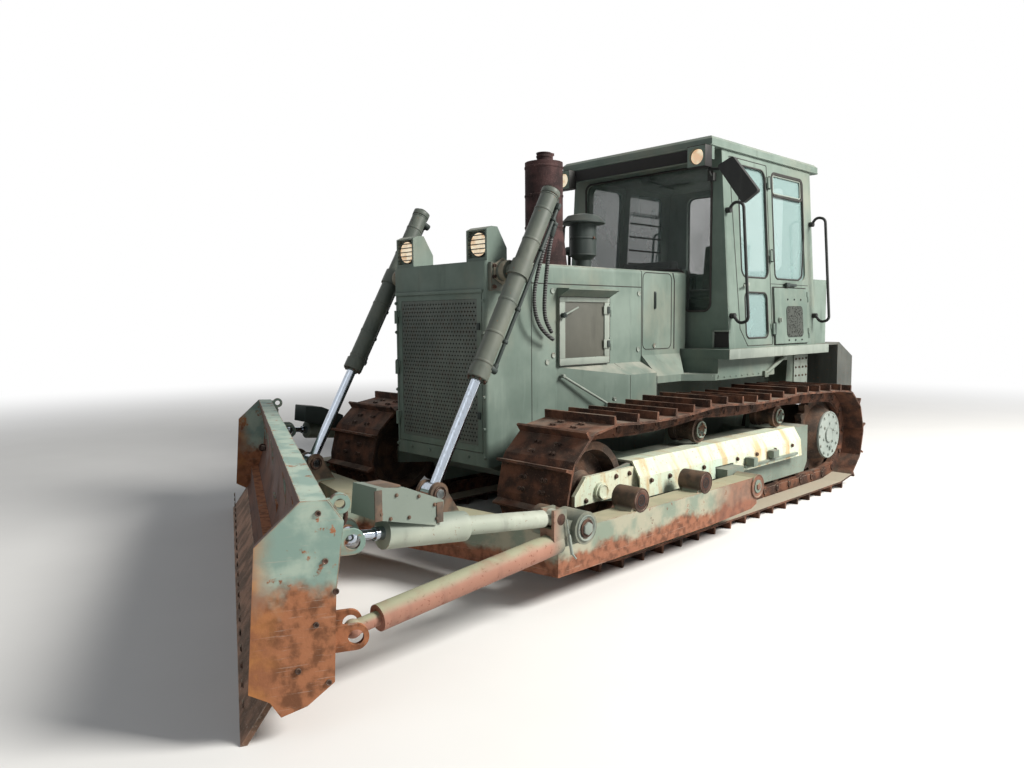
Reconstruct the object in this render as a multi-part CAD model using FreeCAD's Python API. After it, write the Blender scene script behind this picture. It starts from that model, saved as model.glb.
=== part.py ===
import FreeCAD, Part
import math
import os

V = FreeCAD.Vector

# A crawler bulldozer of the 17 tonne class with an angling blade, in millimetres.
# While it is being worked out, x = 0 is the machine's centre plane with its left side at +x,
# y = 0 is the front face of the radiator guard with the rear at +y, and z = 0 is the ground.
# The finished pieces are moved sideways and lengthwise so that the origin lies on the ground
# under the middle of the whole machine, blade included.

# Tracks
TRACK_CENTRE_X = 944.0
SHOE_WIDTH = 560.0
LUG_HEIGHT = 50.0
SHOE_THICKNESS = 14.0
LINK_HEIGHT = 97.0
RAIL_TO_PIN = 50.0
LINK_COUNT = 42
RAIL_INNER = 65.0
RAIL_WIDTH = 40.0
LUG_START = 8.0
LUG_BASE = 24.0
LUG_TIP = 14.0
LUG_LEAN = 4.0
SHOE_GAP = 2.0
IDLER_Y = 318.0
IDLER_PIN_RADIUS = 352.0
SPROCKET_Y = 3505.0
SPROCKET_PIN_RADIUS = 344.0
CARRIER_YS = (1500.0, 2645.0)
CARRIER_PIN_Z = (839.0, 831.0)
SAG_FRONT = 30.0
SAG_MIDDLE = 28.0
SAG_REAR = 2.0
TRACK_PHASE = 0.35

# Wheels of the tracks
SEAT_GAP = 0.3
CARRIER_RADIUS = 85.0
CARRIER_HALF = 108.0
ROLLER_RADIUS = 80.0
ROLLER_COUNT = 7
ROLLER_FIRST_Y = 745.0
ROLLER_PITCH = 374.0
WHEEL_HALF = 108.0
CENTRE_FLANGE_HALF = 52.0
CENTRE_FLANGE_RISE = 14.0
IDLER_RIM = 46.0
IDLER_WEB_HALF = 18.0
IDLER_HUB_RADIUS = 85.0
SPROCKET_TEETH = 21
SPROCKET_HALF = 28.0
TOOTH_RISE = 16.0
TOOTH_DROP = 22.0
HUB_COVER_RADIUS = 200.0
HUB_COVER_OUT = 1080.0
HUB_DISH_RADIUS = 265.0
FINAL_DRIVE_RADIUS = 275.0

# Track frames
FRAME_PLATE_IN = 128.0
FRAME_PLATE_OUT = 150.0
FRAME_TOP = 585.0
FRAME_REAR_Y = SPROCKET_Y - 435.0
FRAME_SKIRT_Z = 200.0
AXLE_RADIUS = 40.0
ARM_PIVOT_Y = 1630.0
ARM_PIVOT_Z = 335.0
ARM_PIVOT_RADIUS = 45.0
GUARD_TOP_Z = 599.0
GUARD_FOLD_X = 1165.0
GUARD_FOLD_Z = 500.0
GUARD_LOW_Z = 372.0
GUARD_FRONT_Y = 300.0
GUARD_REAR_Y = FRAME_REAR_Y - 270.0

# Chassis
CHASSIS_HALF = 400.0
BELLY_Z = 430.0
CHASSIS_TOP = 700.0
CHASSIS_REAR_Y = 3050.0
CASE_REAR_Y = 4150.0
CASE_TOP = 1020.0
PIVOT_SHAFT_Y = 2900.0
PIVOT_SHAFT_Z = 470.0
PIVOT_SHAFT_RADIUS = 75.0
EQUALIZER_Y = 950.0

# Radiator guard, hood and body sides
HOOD_HALF = 474.0
GUARD_DEPTH = 400.0
GUARD_BOTTOM_Z = 560.0
HOOD_TOP_Z = 1850.0
SHEET = 8.0
GUARD_WALL = 24.0
GRILLE_HALF = 440.0
GRILLE_LOW_Z = 645.0
GRILLE_HIGH_Z = 1660.0
GRILLE_FRAME = 42.0
DOOR_GAP = 5.0
HOOD_SEAM_Z = 1720.0
HOOD_REAR_Y = 1583.0
COWL_REAR_Y = 2172.0
COWL_LOW_Z = 1241.0
SIDE_DOOR_Y = (645.0, 1180.0)
SIDE_DOOR_Z = (1168.0, 1694.0)
SIDE_DOOR_THICK = 20.0
LEDGE_LOW_Z = 1080.0
LEDGE_X = 620.0
LEDGE_CORNER_Y = 1260.0
SIDE_LOW_Z = 700.0

# Platform and cab
PLATFORM_HALF = 900.0
PLATFORM_FRONT_Y = 2130.0
PLATFORM_REAR_Y = 3862.0
PLATFORM_TOP_Z = 1240.0
PLATFORM_EDGE = 75.0
CAB_FRONT_Y = 2225.0
CAB_REAR_Y = 3720.0
CAB_LOW_HALF = 845.0
CAB_TOP_HALF = 749.5
CAB_TOP_Z = 2790.0
CAB_WALL = 40.0
ROOF_HALF = 762.0
ROOF_FRONT_Y = 2070.0
ROOF_REAR_Y = CAB_REAR_Y + 132.0
ROOF_THICK = 82.0
FASCIA_LOW_Z = 2690.0
FASCIA_THICK = 35.0
ROOF_TOP_Z = CAB_TOP_Z + ROOF_THICK
GLASS = 6.0
DOOR_Y = (2330.0, 2915.0)
DOOR_Z = (1262.0, 2745.0)
DOOR_CORNER = (2400.0, 1400.0)
DOOR_FOOT_Y = 2510.0
HATCH_Y = (2950.0, 3550.0)
HATCH_Z = (1262.0, 1736.0)
TANK_HALF = 760.0
TANK_DEPTH = 385.0
TANK_HEIGHT = 595.0

# Blade, straight across while it is made, with its ball joint's centre at the origin
BLADE_HALF = 1900.0
BLADE_ANGLE = 24.0
BALL_Y = -870.0
BALL_Z = 300.0
BALL_BACK = 525.0
BALL_RADIUS = 75.0
END_PLATE = 30.0
MOULD_THICKNESS = 20.0
EDGE_THICKNESS = 25.0
STRUT_LUG_X = BLADE_HALF - 250.0
LINK_LUG_X = BLADE_HALF - 285.0
RIB_PITCH = 590.0
LUG_BACK = 440.0
LUG_SPREAD = 68.0
LUG_PLATE = 22.0
LOW_LUG_Z = 280.0
HIGH_LUG_Z = 640.0

# Push frame
ARM_CLEAR = 46.0
ARM_WIDTH = 150.0
ARM_IN = TRACK_CENTRE_X + SHOE_WIDTH / 2 + ARM_CLEAR
ARM_OUT = ARM_IN + ARM_WIDTH
ARM_LOW_Z = 170.0
ARM_TOP_Z = 400.0
NOSE_WIDTH = 215.0
NOSE_FRONT_Y = -690.0
SOCKET_FRONT_Y = -345.0
SOCKET_PITCH = 667.5
SOCKET_Z = 455.0
SOCKET_BORE = 45.0
SOCKET_RADIUS = 70.0
ROD_EYE_Y = -582.0
ROD_EYE_Z = 530.0

# Lift cylinders
LIFT_X = 660.0
TRUNNION_Y = 116.0
TRUNNION_Z = 1781.0
BARREL_RADIUS = 57.0
BARREL_BORE = 45.0
BARREL_BELOW = 728.0
BARREL_ABOVE = 556.0
ROD_RADIUS = 32.0
ROD_LENGTH = 1200.0
RUNNING_FIT = 0.05
TRUNNION_RADIUS = 40.0
EYE_RADIUS = 55.0
EYE_HALF = 36.0
EYE_PIN = 26.0
EYE_DRIFT = 16.0

NODES = {}


def block(x0, x1, y0, y1, z0, z1):
    return Part.makeBox(x1 - x0, y1 - y0, z1 - z0, V(x0, y0, z0))


def round_x(x0, x1, y, z, radius):
    return Part.makeCylinder(radius, x1 - x0, V(x0, y, z), V(1, 0, 0))


def round_y(y0, y1, x, z, radius):
    return Part.makeCylinder(radius, y1 - y0, V(x, y0, z), V(0, 1, 0))


def round_z(z0, z1, x, y, radius):
    return Part.makeCylinder(radius, z1 - z0, V(x, y, z0), V(0, 0, 1))


def face_of(points):
    return Part.Face(Part.makePolygon(points + [points[0]]))


def along_x(outline, x0, x1):
    """A prism whose outline is given as (y, z)."""
    return face_of([V(x0, y, z) for y, z in outline]).extrude(V(x1 - x0, 0, 0))


def along_y(outline, y0, y1):
    """A prism whose outline is given as (x, z)."""
    return face_of([V(x, y0, z) for x, z in outline]).extrude(V(0, y1 - y0, 0))


def along_z(outline, z0, z1):
    """A prism whose outline is given as (x, y)."""
    return face_of([V(x, y, z0) for x, y in outline]).extrude(V(0, 0, z1 - z0))


def joined(*shapes):
    return shapes[0].multiFuse(list(shapes[1:])).removeSplitter()


def less(shape, *tools):
    return shape.cut(list(tools))


def mirrored(shape):
    return shape.mirror(V(0, 0, 0), V(1, 0, 0))


def pair(shape):
    return [shape, mirrored(shape)]


def tube_between(start, end, radius, bore=0.0):
    run = end - start
    body = Part.makeCylinder(radius, run.Length, start, run)
    if bore:
        body = body.cut(Part.makeCylinder(bore, run.Length, start, run))
    return body


def turned_x(profile, y, z):
    """Spins an outline of (x, radius) about the line through y, z along x."""
    points = [V(x, y, z + radius) for x, radius in profile]
    return face_of(points).revolve(V(0, y, z), V(1, 0, 0), 360)


def turned_z(profile, x, y):
    """Spins an outline of (radius, z) about the upright line through x, y."""
    points = [V(x + radius, y, z) for radius, z in profile]
    return face_of(points).revolve(V(x, y, 0), V(0, 0, 1), 360)


def keep(name, *shapes):
    NODES[name] = list(shapes)


HINGE_RADIUS = 14.0
HINGE_PIN = 7.0
HINGE_KNUCKLE = 45.0
HINGE_LEAF = 24.0
HINGE_PLATE = 8.0
HINGE_SINK = 1.0
HINGE_OUT = HINGE_RADIUS + 0.5


def hinge(rise=0.0):
    """Fixed and moving halves of a butt hinge on a face that looks along +x.

    The pin stands on the origin at HINGE_OUT from the face. The fixed leaf reaches to +y,
    and the moving one to -y, from a face that may stand higher by the rise.
    """
    low = round_z(0, HINGE_KNUCKLE, 0, 0, HINGE_RADIUS)
    pin = round_z(0, 2 * HINGE_KNUCKLE, 0, 0, HINGE_PIN)
    fixed_leaf = block(-HINGE_OUT - HINGE_SINK, -HINGE_OUT + HINGE_PLATE, 0, HINGE_LEAF, 0, HINGE_KNUCKLE)
    start = HINGE_KNUCKLE + SEAT_GAP
    high = round_z(start, 2 * HINGE_KNUCKLE, 0, 0, HINGE_RADIUS)
    face = rise - HINGE_OUT
    moving_leaf = block(face - HINGE_SINK, face + HINGE_PLATE, -HINGE_LEAF, 0, start, 2 * HINGE_KNUCKLE)
    bore = round_z(0, 3 * HINGE_KNUCKLE, 0, 0, HINGE_PIN + RUNNING_FIT)
    return joined(low, pin, fixed_leaf), less(joined(high, moving_leaf), bore)


def placed(shape, x, y, z, lean=0.0):
    """A copy of a shape moved to a place, its upright first leant inwards by an angle."""
    moved = shape.copy()
    moved.rotate(V(0, 0, 0), V(0, 1, 0), -lean)
    moved.translate(V(x, y, z))
    return moved


# The track's pin line, seen from the left: rearwards along the ground, up round the
# sprocket, forwards over the carrier rollers and down round the idler.
PIN_TO_TIP = LINK_HEIGHT - RAIL_TO_PIN + SHOE_THICKNESS + LUG_HEIGHT
RAIL_Z = LUG_HEIGHT + SHOE_THICKNESS + LINK_HEIGHT
IDLER_Z = PIN_TO_TIP + IDLER_PIN_RADIUS
SPROCKET_Z = PIN_TO_TIP + SPROCKET_PIN_RADIUS


def span(start, end, sag, steps=16):
    points = []
    for i in range(steps):
        t = i / steps
        y = start[0] + (end[0] - start[0]) * t
        z = start[1] + (end[1] - start[1]) * t - 4 * sag * t * (1 - t)
        points.append((y, z))
    return points


def arc_points(y, z, radius, start, end, steps=32):
    points = []
    for i in range(steps):
        a = math.radians(start + (end - start) * i / steps)
        points.append((y + radius * math.cos(a), z + radius * math.sin(a)))
    return points


def pin_line():
    front, rear = (CARRIER_YS[0], CARRIER_PIN_Z[0]), (CARRIER_YS[1], CARRIER_PIN_Z[1])
    over_sprocket = (SPROCKET_Y, SPROCKET_Z + SPROCKET_PIN_RADIUS)
    over_idler = (IDLER_Y, IDLER_Z + IDLER_PIN_RADIUS)
    line = span((IDLER_Y, PIN_TO_TIP), (SPROCKET_Y, PIN_TO_TIP), 0.0)
    line += arc_points(SPROCKET_Y, SPROCKET_Z, SPROCKET_PIN_RADIUS, -90, 90)
    line += span(over_sprocket, rear, SAG_REAR)
    line += span(rear, front, SAG_MIDDLE)
    line += span(front, over_idler, SAG_FRONT)
    line += arc_points(IDLER_Y, IDLER_Z, IDLER_PIN_RADIUS, 90, 270)
    return line


def chain_pins():
    line = pin_line()
    line.append(line[0])
    lengths = [math.dist(a, b) for a, b in zip(line, line[1:])]
    pitch = sum(lengths) / LINK_COUNT
    pins, walked, i = [], 0.0, 0
    for n in range(LINK_COUNT):
        target = (n + TRACK_PHASE) * pitch
        while walked + lengths[i] < target:
            walked += lengths[i]
            i += 1
        t = (target - walked) / lengths[i]
        a, b = line[i], line[i + 1]
        pins.append((a[0] + (b[0] - a[0]) * t, a[1] + (b[1] - a[1]) * t))
    return pins


PINS = chain_pins()


def link_frames():
    """Each link's length, direction and outward normal, all in (y, z)."""
    frames = []
    for a, b in zip(PINS, PINS[1:] + PINS[:1]):
        length = math.dist(a, b)
        along = ((b[0] - a[0]) / length, (b[1] - a[1]) / length)
        frames.append((length, along, (along[1], -along[0])))
    return frames


LINKS = link_frames()
LINK_PITCH = LINKS[0][0]


def ring_outline(offset):
    """One corner for each pin, at the given distance outside the pin line."""
    corners = []
    for i, pin in enumerate(PINS):
        before, after = LINKS[i - 1][2], LINKS[i][2]
        my, mz = before[0] + after[0], before[1] + after[1]
        size = math.hypot(my, mz)
        reach = offset / (size / 2)
        corners.append((pin[0] + my / size * reach, pin[1] + mz / size * reach))
    return corners


def shoe_outline():
    """The outside of the chain of shoes, with one lug near the start of each shoe."""
    plate = LINK_HEIGHT - RAIL_TO_PIN + SHOE_THICKNESS
    tip = plate + LUG_HEIGHT
    points = []
    for pin, (length, along, out) in zip(PINS, LINKS):
        profile = (
            (SHOE_GAP, plate),
            (LUG_START, plate),
            (LUG_START + LUG_LEAN, tip),
            (LUG_START + LUG_LEAN + LUG_TIP, tip),
            (LUG_START + LUG_BASE, plate),
            (length - SHOE_GAP, plate),
        )
        for u, v in profile:
            points.append((pin[0] + along[0] * u + out[0] * v, pin[1] + along[1] * u + out[1] * v))
    return points


def ring(outer, inner, x0, x1):
    return less(along_x(outer, x0, x1), along_x(inner, x0 - 1, x1 + 1))


def track():
    half = SHOE_WIDTH / 2
    under = LINK_HEIGHT - RAIL_TO_PIN
    shoes = ring(shoe_outline(), ring_outline(under), TRACK_CENTRE_X - half, TRACK_CENTRE_X + half)
    rails = []
    for x0 in (RAIL_INNER, -RAIL_INNER - RAIL_WIDTH):
        x = TRACK_CENTRE_X + x0
        rails.append(ring(ring_outline(under + SHOE_THICKNESS / 2), ring_outline(-RAIL_TO_PIN), x, x + RAIL_WIDTH))
    return joined(shoes, *rails)


def seat_under(y, radius):
    """Height of a roller's centre that just clears the rails of the top run."""
    rails = ring_outline(-RAIL_TO_PIN)
    best = None
    for a, b in zip(rails, rails[1:] + rails[:1]):
        above = (a[1] + b[1]) / 2 > IDLER_Z
        near = min(a[0], b[0]) - radius < y < max(a[0], b[0]) + radius
        if above and near:
            slope = (b[1] - a[1]) / (b[0] - a[0])
            height = a[1] + slope * (y - a[0]) - (radius + SEAT_GAP) * math.hypot(1, slope)
            best = height if best is None else min(best, height)
    return best


CARRIER_ZS = [seat_under(y, CARRIER_RADIUS) for y in CARRIER_YS]
ROLLER_Z = RAIL_Z + SEAT_GAP + ROLLER_RADIUS
ROLLER_YS = [ROLLER_FIRST_Y + i * ROLLER_PITCH for i in range(ROLLER_COUNT)]


def chord_radius(pin_radius):
    """Distance from a wheel's centre to the rails of the links that lie on it."""
    half_turn = math.asin(LINK_PITCH / 2 / pin_radius)
    return pin_radius * math.cos(half_turn) - RAIL_TO_PIN


def idler():
    tread = chord_radius(IDLER_PIN_RADIUS) - SEAT_GAP
    rim = tread - IDLER_RIM
    c = TRACK_CENTRE_X
    flange = tread + CENTRE_FLANGE_RISE
    seat = FRAME_PLATE_IN - SEAT_GAP
    hub = IDLER_HUB_RADIUS
    profile = [
        (c - seat, 0.0), (c - seat, hub), (c - IDLER_WEB_HALF - 30, hub), (c - IDLER_WEB_HALF, hub + 20),
        (c - IDLER_WEB_HALF, rim - 20), (c - WHEEL_HALF, rim), (c - WHEEL_HALF, tread),
        (c - CENTRE_FLANGE_HALF - 6, tread), (c - CENTRE_FLANGE_HALF, flange),
        (c + CENTRE_FLANGE_HALF, flange), (c + CENTRE_FLANGE_HALF + 6, tread), (c + WHEEL_HALF, tread),
        (c + WHEEL_HALF, rim), (c + IDLER_WEB_HALF, rim - 20), (c + IDLER_WEB_HALF, hub + 20),
        (c + IDLER_WEB_HALF + 30, hub), (c + seat, hub), (c + seat, 0.0),
    ]
    return turned_x(profile, IDLER_Y, IDLER_Z)


def roller(y, z, radius, half):
    """A flanged roller and its axle, which reaches the plates of the track frame."""
    c = TRACK_CENTRE_X
    seat = FRAME_PLATE_IN - SEAT_GAP
    body = radius - 22
    profile = [
        (c - seat, 0.0), (c - seat, AXLE_RADIUS), (c - half, AXLE_RADIUS), (c - half, radius),
        (c - RAIL_INNER + 8, radius), (c - RAIL_INNER + 12, body), (c + RAIL_INNER - 12, body),
        (c + RAIL_INNER - 8, radius), (c + half, radius), (c + half, AXLE_RADIUS), (c + seat, AXLE_RADIUS),
        (c + seat, 0.0),
    ]
    return turned_x(profile, y, z)


CARRIER_POST_IN = 790.0
CARRIER_POST_OUT = 826.0
CARRIER_CAP_OUT = 1056.0
CARRIER_CAP_RADIUS = 62.0


def carrier_roller(y, z):
    c = TRACK_CENTRE_X
    body = CARRIER_RADIUS - 18
    profile = [
        (CARRIER_POST_OUT + SEAT_GAP, 0.0), (CARRIER_POST_OUT + SEAT_GAP, AXLE_RADIUS),
        (c - CARRIER_HALF, AXLE_RADIUS), (c - CARRIER_HALF, CARRIER_RADIUS), (c - RAIL_INNER + 8, CARRIER_RADIUS),
        (c - RAIL_INNER + 12, body), (c + RAIL_INNER - 12, body), (c + RAIL_INNER - 8, CARRIER_RADIUS),
        (c + CARRIER_HALF - 10, CARRIER_RADIUS), (c + CARRIER_HALF - 10, CARRIER_CAP_RADIUS),
        (CARRIER_CAP_OUT, CARRIER_CAP_RADIUS), (CARRIER_CAP_OUT, 0.0),
    ]
    return turned_x(profile, y, z)


def sprocket():
    """A toothed ring that meets the chain between its rails, with the drive's cover outside."""
    points = []
    step = 2 * math.pi / SPROCKET_TEETH
    tip = SPROCKET_PIN_RADIUS + TOOTH_RISE
    root = SPROCKET_PIN_RADIUS - TOOTH_DROP
    for i in range(SPROCKET_TEETH):
        for share, radius in ((0.0, root), (0.30, root), (0.55, tip), (0.75, tip)):
            a = (i + share) * step
            points.append((SPROCKET_Y + radius * math.cos(a), SPROCKET_Z + radius * math.sin(a)))
    c = TRACK_CENTRE_X
    teeth = along_x(points, c - SPROCKET_HALF, c + SPROCKET_HALF)
    dish = [
        (c + SPROCKET_HALF - 5, 0.0), (c + SPROCKET_HALF - 5, HUB_DISH_RADIUS),
        (HUB_COVER_OUT - 14, HUB_COVER_RADIUS + 8), (HUB_COVER_OUT - 14, HUB_COVER_RADIUS),
        (HUB_COVER_OUT, HUB_COVER_RADIUS - 8), (HUB_COVER_OUT, 0.0),
    ]
    return joined(teeth, turned_x(dish, SPROCKET_Y, SPROCKET_Z))


def track_frame():
    """Inverted channel over the bottom rollers, forked round the idler, with the push arm's trunnion."""
    c = TRACK_CENTRE_X
    nose = IDLER_Y - 75
    bay = IDLER_Y + chord_radius(IDLER_PIN_RADIUS) + CENTRE_FLANGE_RISE + 25
    plate = [
        (nose, IDLER_Z - 60), (nose, IDLER_Z + 60), (bay - 20, FRAME_TOP), (FRAME_REAR_Y, FRAME_TOP),
        (FRAME_REAR_Y, FRAME_SKIRT_Z + 80), (FRAME_REAR_Y - 60, FRAME_SKIRT_Z), (bay + 10, FRAME_SKIRT_Z),
        (bay - 60, IDLER_Z - 100),
    ]
    roof_z = ROLLER_Z + ROLLER_RADIUS + 14
    parts = [
        along_x(plate, c + FRAME_PLATE_IN, c + FRAME_PLATE_OUT),
        along_x(plate, c - FRAME_PLATE_OUT, c - FRAME_PLATE_IN),
        block(c - FRAME_PLATE_IN - 5, c + FRAME_PLATE_IN + 5, bay, FRAME_REAR_Y, roof_z, FRAME_TOP),
        round_x(c + FRAME_PLATE_OUT - 5, ARM_OUT + 12, ARM_PIVOT_Y, ARM_PIVOT_Z, ARM_PIVOT_RADIUS - RUNNING_FIT),
        block(c + FRAME_PLATE_OUT - 5, ARM_IN - 12, ARM_PIVOT_Y - 110, ARM_PIVOT_Y + 110, 250, 330 + 110),
    ]
    for y, z in zip(CARRIER_YS, CARRIER_ZS):
        foot = FRAME_TOP - 30
        post = [(y - 70, foot), (y - 42, z + 48), (y + 42, z + 48), (y + 70, foot)]
        parts.append(along_x(post, CARRIER_POST_IN, CARRIER_POST_OUT))
    return joined(*parts)


GUARD_NOSE = [(94, 402), (94, 463), (192, 565), (690, 567), (690, 402)]
GUARD_NOSE_THICK = 24.0


def track_guard():
    """Folded plate over the outer side of the track frame, with a flat nose beside the idler."""
    inner = TRACK_CENTRE_X + FRAME_PLATE_OUT
    t = 10.0
    outline = [
        (TRACK_CENTRE_X + 40, FRAME_TOP + SEAT_GAP), (TRACK_CENTRE_X + 40, GUARD_TOP_Z),
        (inner + 12, GUARD_TOP_Z), (GUARD_FOLD_X, GUARD_FOLD_Z), (GUARD_FOLD_X + 12, GUARD_LOW_Z),
        (GUARD_FOLD_X + 12 - t, GUARD_LOW_Z), (GUARD_FOLD_X - t, GUARD_FOLD_Z - t / 2),
        (inner + 5, FRAME_TOP + SEAT_GAP),
    ]
    boss = block(inner, 1300, ARM_PIVOT_Y - 120, ARM_PIVOT_Y + 120, GUARD_LOW_Z - 1, 450)
    cover = less(along_y(outline, IDLER_Y + 330, GUARD_REAR_Y), boss)
    nose = along_x(GUARD_NOSE, inner + SEAT_GAP, inner + GUARD_NOSE_THICK)
    face = inner + GUARD_NOSE_THICK
    cap = round_x(face - 1, face + 20, IDLER_Y, IDLER_Z, 55)
    return joined(cover, nose, cap)


keep("track_left", track())
keep("track_right", mirrored(track()))
keep("idlers", *pair(idler()))
keep("sprockets", *pair(sprocket()))
rollers = [roller(y, ROLLER_Z, ROLLER_RADIUS, WHEEL_HALF) for y in ROLLER_YS]
keep("bottom_rollers", *rollers, *[mirrored(r) for r in rollers])
carriers = [carrier_roller(y, z) for y, z in zip(CARRIER_YS, CARRIER_ZS)]
keep("carrier_rollers", *carriers, *[mirrored(r) for r in carriers])
keep("track_frames", *pair(track_frame()))
keep("track_guards", *pair(track_guard()))


# Chassis and rear case
def chassis():
    belly = [
        (30, CHASSIS_TOP - 130), (330, BELLY_Z), (CHASSIS_REAR_Y, BELLY_Z), (CHASSIS_REAR_Y, CASE_TOP),
        (HOOD_REAR_Y + 120, CASE_TOP), (HOOD_REAR_Y + 60, CHASSIS_TOP), (30, CHASSIS_TOP),
    ]
    reach = TRACK_CENTRE_X - FRAME_PLATE_OUT - SEAT_GAP
    return joined(
        along_x(belly, -CHASSIS_HALF, CHASSIS_HALF),
        round_x(-reach, reach, PIVOT_SHAFT_Y, PIVOT_SHAFT_Z, PIVOT_SHAFT_RADIUS),
        block(-reach, reach, EQUALIZER_Y - 60, EQUALIZER_Y + 60, BELLY_Z + 40, FRAME_TOP - 15),
    )


def rear_case():
    start = CHASSIS_REAR_Y + SEAT_GAP
    side = [
        (start, BELLY_Z), (CASE_REAR_Y - 150, BELLY_Z), (CASE_REAR_Y, BELLY_Z + 160), (CASE_REAR_Y, CASE_TOP + 110),
        (3700, CASE_TOP + 110), (3640, CASE_TOP), (start, CASE_TOP),
    ]
    cheek = [(3720, 800), (CASE_REAR_Y, 800), (CASE_REAR_Y, CASE_TOP + 110), (3760, CASE_TOP + 110)]
    return joined(along_x(side, -CHASSIS_HALF, CHASSIS_HALF), along_x(cheek, -560, 560))


def final_drive():
    c = TRACK_CENTRE_X
    profile = [
        (CHASSIS_HALF + SEAT_GAP, 0.0), (CHASSIS_HALF + SEAT_GAP, FINAL_DRIVE_RADIUS + 20),
        (CHASSIS_HALF + 60, FINAL_DRIVE_RADIUS + 20), (CHASSIS_HALF + 90, FINAL_DRIVE_RADIUS),
        (c - SPROCKET_HALF - 60, FINAL_DRIVE_RADIUS - 40), (c - SPROCKET_HALF - SEAT_GAP, FINAL_DRIVE_RADIUS - 60),
        (c - SPROCKET_HALF - SEAT_GAP, 0.0),
    ]
    return turned_x(profile, SPROCKET_Y, SPROCKET_Z)


DRAWBAR_Y = 4330.0
DRAWBAR_Z = 500.0
DRAWBAR_BORE = 25.0


def drawbar():
    start = CASE_REAR_Y + SEAT_GAP
    plan = [(-130, start), (130, start), (70, DRAWBAR_Y + 55), (-70, DRAWBAR_Y + 55)]
    bar = along_z(plan, DRAWBAR_Z - 75, DRAWBAR_Z + 75)
    gap = block(-140, 140, CASE_REAR_Y + 90, DRAWBAR_Y + 100, DRAWBAR_Z - 35, DRAWBAR_Z + 35)
    foot = block(-150, 150, start, start + 40, DRAWBAR_Z - 75, 760)
    return less(joined(less(bar, gap), foot), round_z(DRAWBAR_Z - 90, DRAWBAR_Z + 90, 0, DRAWBAR_Y, DRAWBAR_BORE))


keep("main_frame", chassis())
keep("rear_case", rear_case())
keep("final_drives", *pair(final_drive()))
keep("drawbar", drawbar())
ENGINE_TOP = 1590.0
keep("engine_block", block(-290, 290, 480, 1560, CHASSIS_TOP + SEAT_GAP, ENGINE_TOP))


# Radiator guard and its grille door
GRILLE_HINGE_X = -GRILLE_HALF + 2
GRILLE_HINGE_ZS = (760.0, 1110.0, 1460.0)


def radiator_guard():
    shell = block(-HOOD_HALF, HOOD_HALF, 0, GUARD_DEPTH, GUARD_BOTTOM_Z, HOOD_TOP_Z - 5)
    edges = [e for e in shell.Edges if e.BoundBox.ZLength > 900 and e.BoundBox.YMin < 1]
    shell = shell.makeFillet(22, edges)
    inner = block(
        -HOOD_HALF + GUARD_WALL, HOOD_HALF - GUARD_WALL, GUARD_WALL, GUARD_DEPTH + 1,
        GUARD_BOTTOM_Z + GUARD_WALL, HOOD_TOP_Z - 5 - GUARD_WALL,
    )
    floor_gap = block(
        -CHASSIS_HALF - SEAT_GAP, CHASSIS_HALF + SEAT_GAP, 30 - SEAT_GAP, GUARD_DEPTH + 1,
        GUARD_BOTTOM_Z - 1, CHASSIS_TOP + SEAT_GAP,
    )
    mouth = block(-GRILLE_HALF, GRILLE_HALF, -1, GUARD_WALL + 1, GRILLE_LOW_Z, GRILLE_HIGH_Z)
    return joined(less(shell, inner, floor_gap, mouth), *grille_hinges(0))


def grille_hinges(half):
    """The fixed (0) or moving (1) halves of the grille door's hinges, on its right edge."""
    parts = []
    for z in GRILLE_HINGE_ZS:
        part = hinge()[half]
        part.rotate(V(0, 0, 0), V(0, 0, 1), -90)
        part = mirrored(part)
        part.translate(V(GRILLE_HINGE_X, -HINGE_OUT, z))
        parts.append(part)
    return parts


def grille_door():
    half = GRILLE_HALF - DOOR_GAP
    low, high = GRILLE_LOW_Z + DOOR_GAP, GRILLE_HIGH_Z - DOOR_GAP
    door = block(-half, half, 0, 22, low, high)
    recess = block(-half + GRILLE_FRAME, half - GRILLE_FRAME, -1, 8, low + GRILLE_FRAME, high - GRILLE_FRAME)
    back = block(-half + GRILLE_FRAME, half - GRILLE_FRAME, 14, 23, low + GRILLE_FRAME, high - GRILLE_FRAME)
    return joined(less(door, recess, back), *grille_hinges(1))


keep("radiator_guard", radiator_guard())
keep("grille_door", grille_door())
CORE_HALF = HOOD_HALF - GUARD_WALL - SEAT_GAP
keep("radiator_core", block(-CORE_HALF, CORE_HALF, 110, 240, CHASSIS_TOP + 2 * SEAT_GAP, 1640))


# Hood, engine side panels with their doors, flared lower sides and cowl
def hood():
    outer = block(-HOOD_HALF, HOOD_HALF, GUARD_DEPTH + SEAT_GAP, HOOD_REAR_Y, HOOD_SEAM_Z, HOOD_TOP_Z)
    edges = [e for e in outer.Edges if e.BoundBox.YLength > 900 and e.BoundBox.ZMin > HOOD_TOP_Z - 1]
    outer = outer.makeFillet(28, edges)
    inner = block(
        -HOOD_HALF + SHEET, HOOD_HALF - SHEET, GUARD_DEPTH - 1, HOOD_REAR_Y - SHEET, HOOD_SEAM_Z - 1, HOOD_TOP_Z - SHEET,
    )
    return less(outer, inner)


SIDE_HINGE_Y = SIDE_DOOR_Y[1] + HINGE_RADIUS + 2
SIDE_HINGE_ZS = (1260.0, 1500.0)


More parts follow.
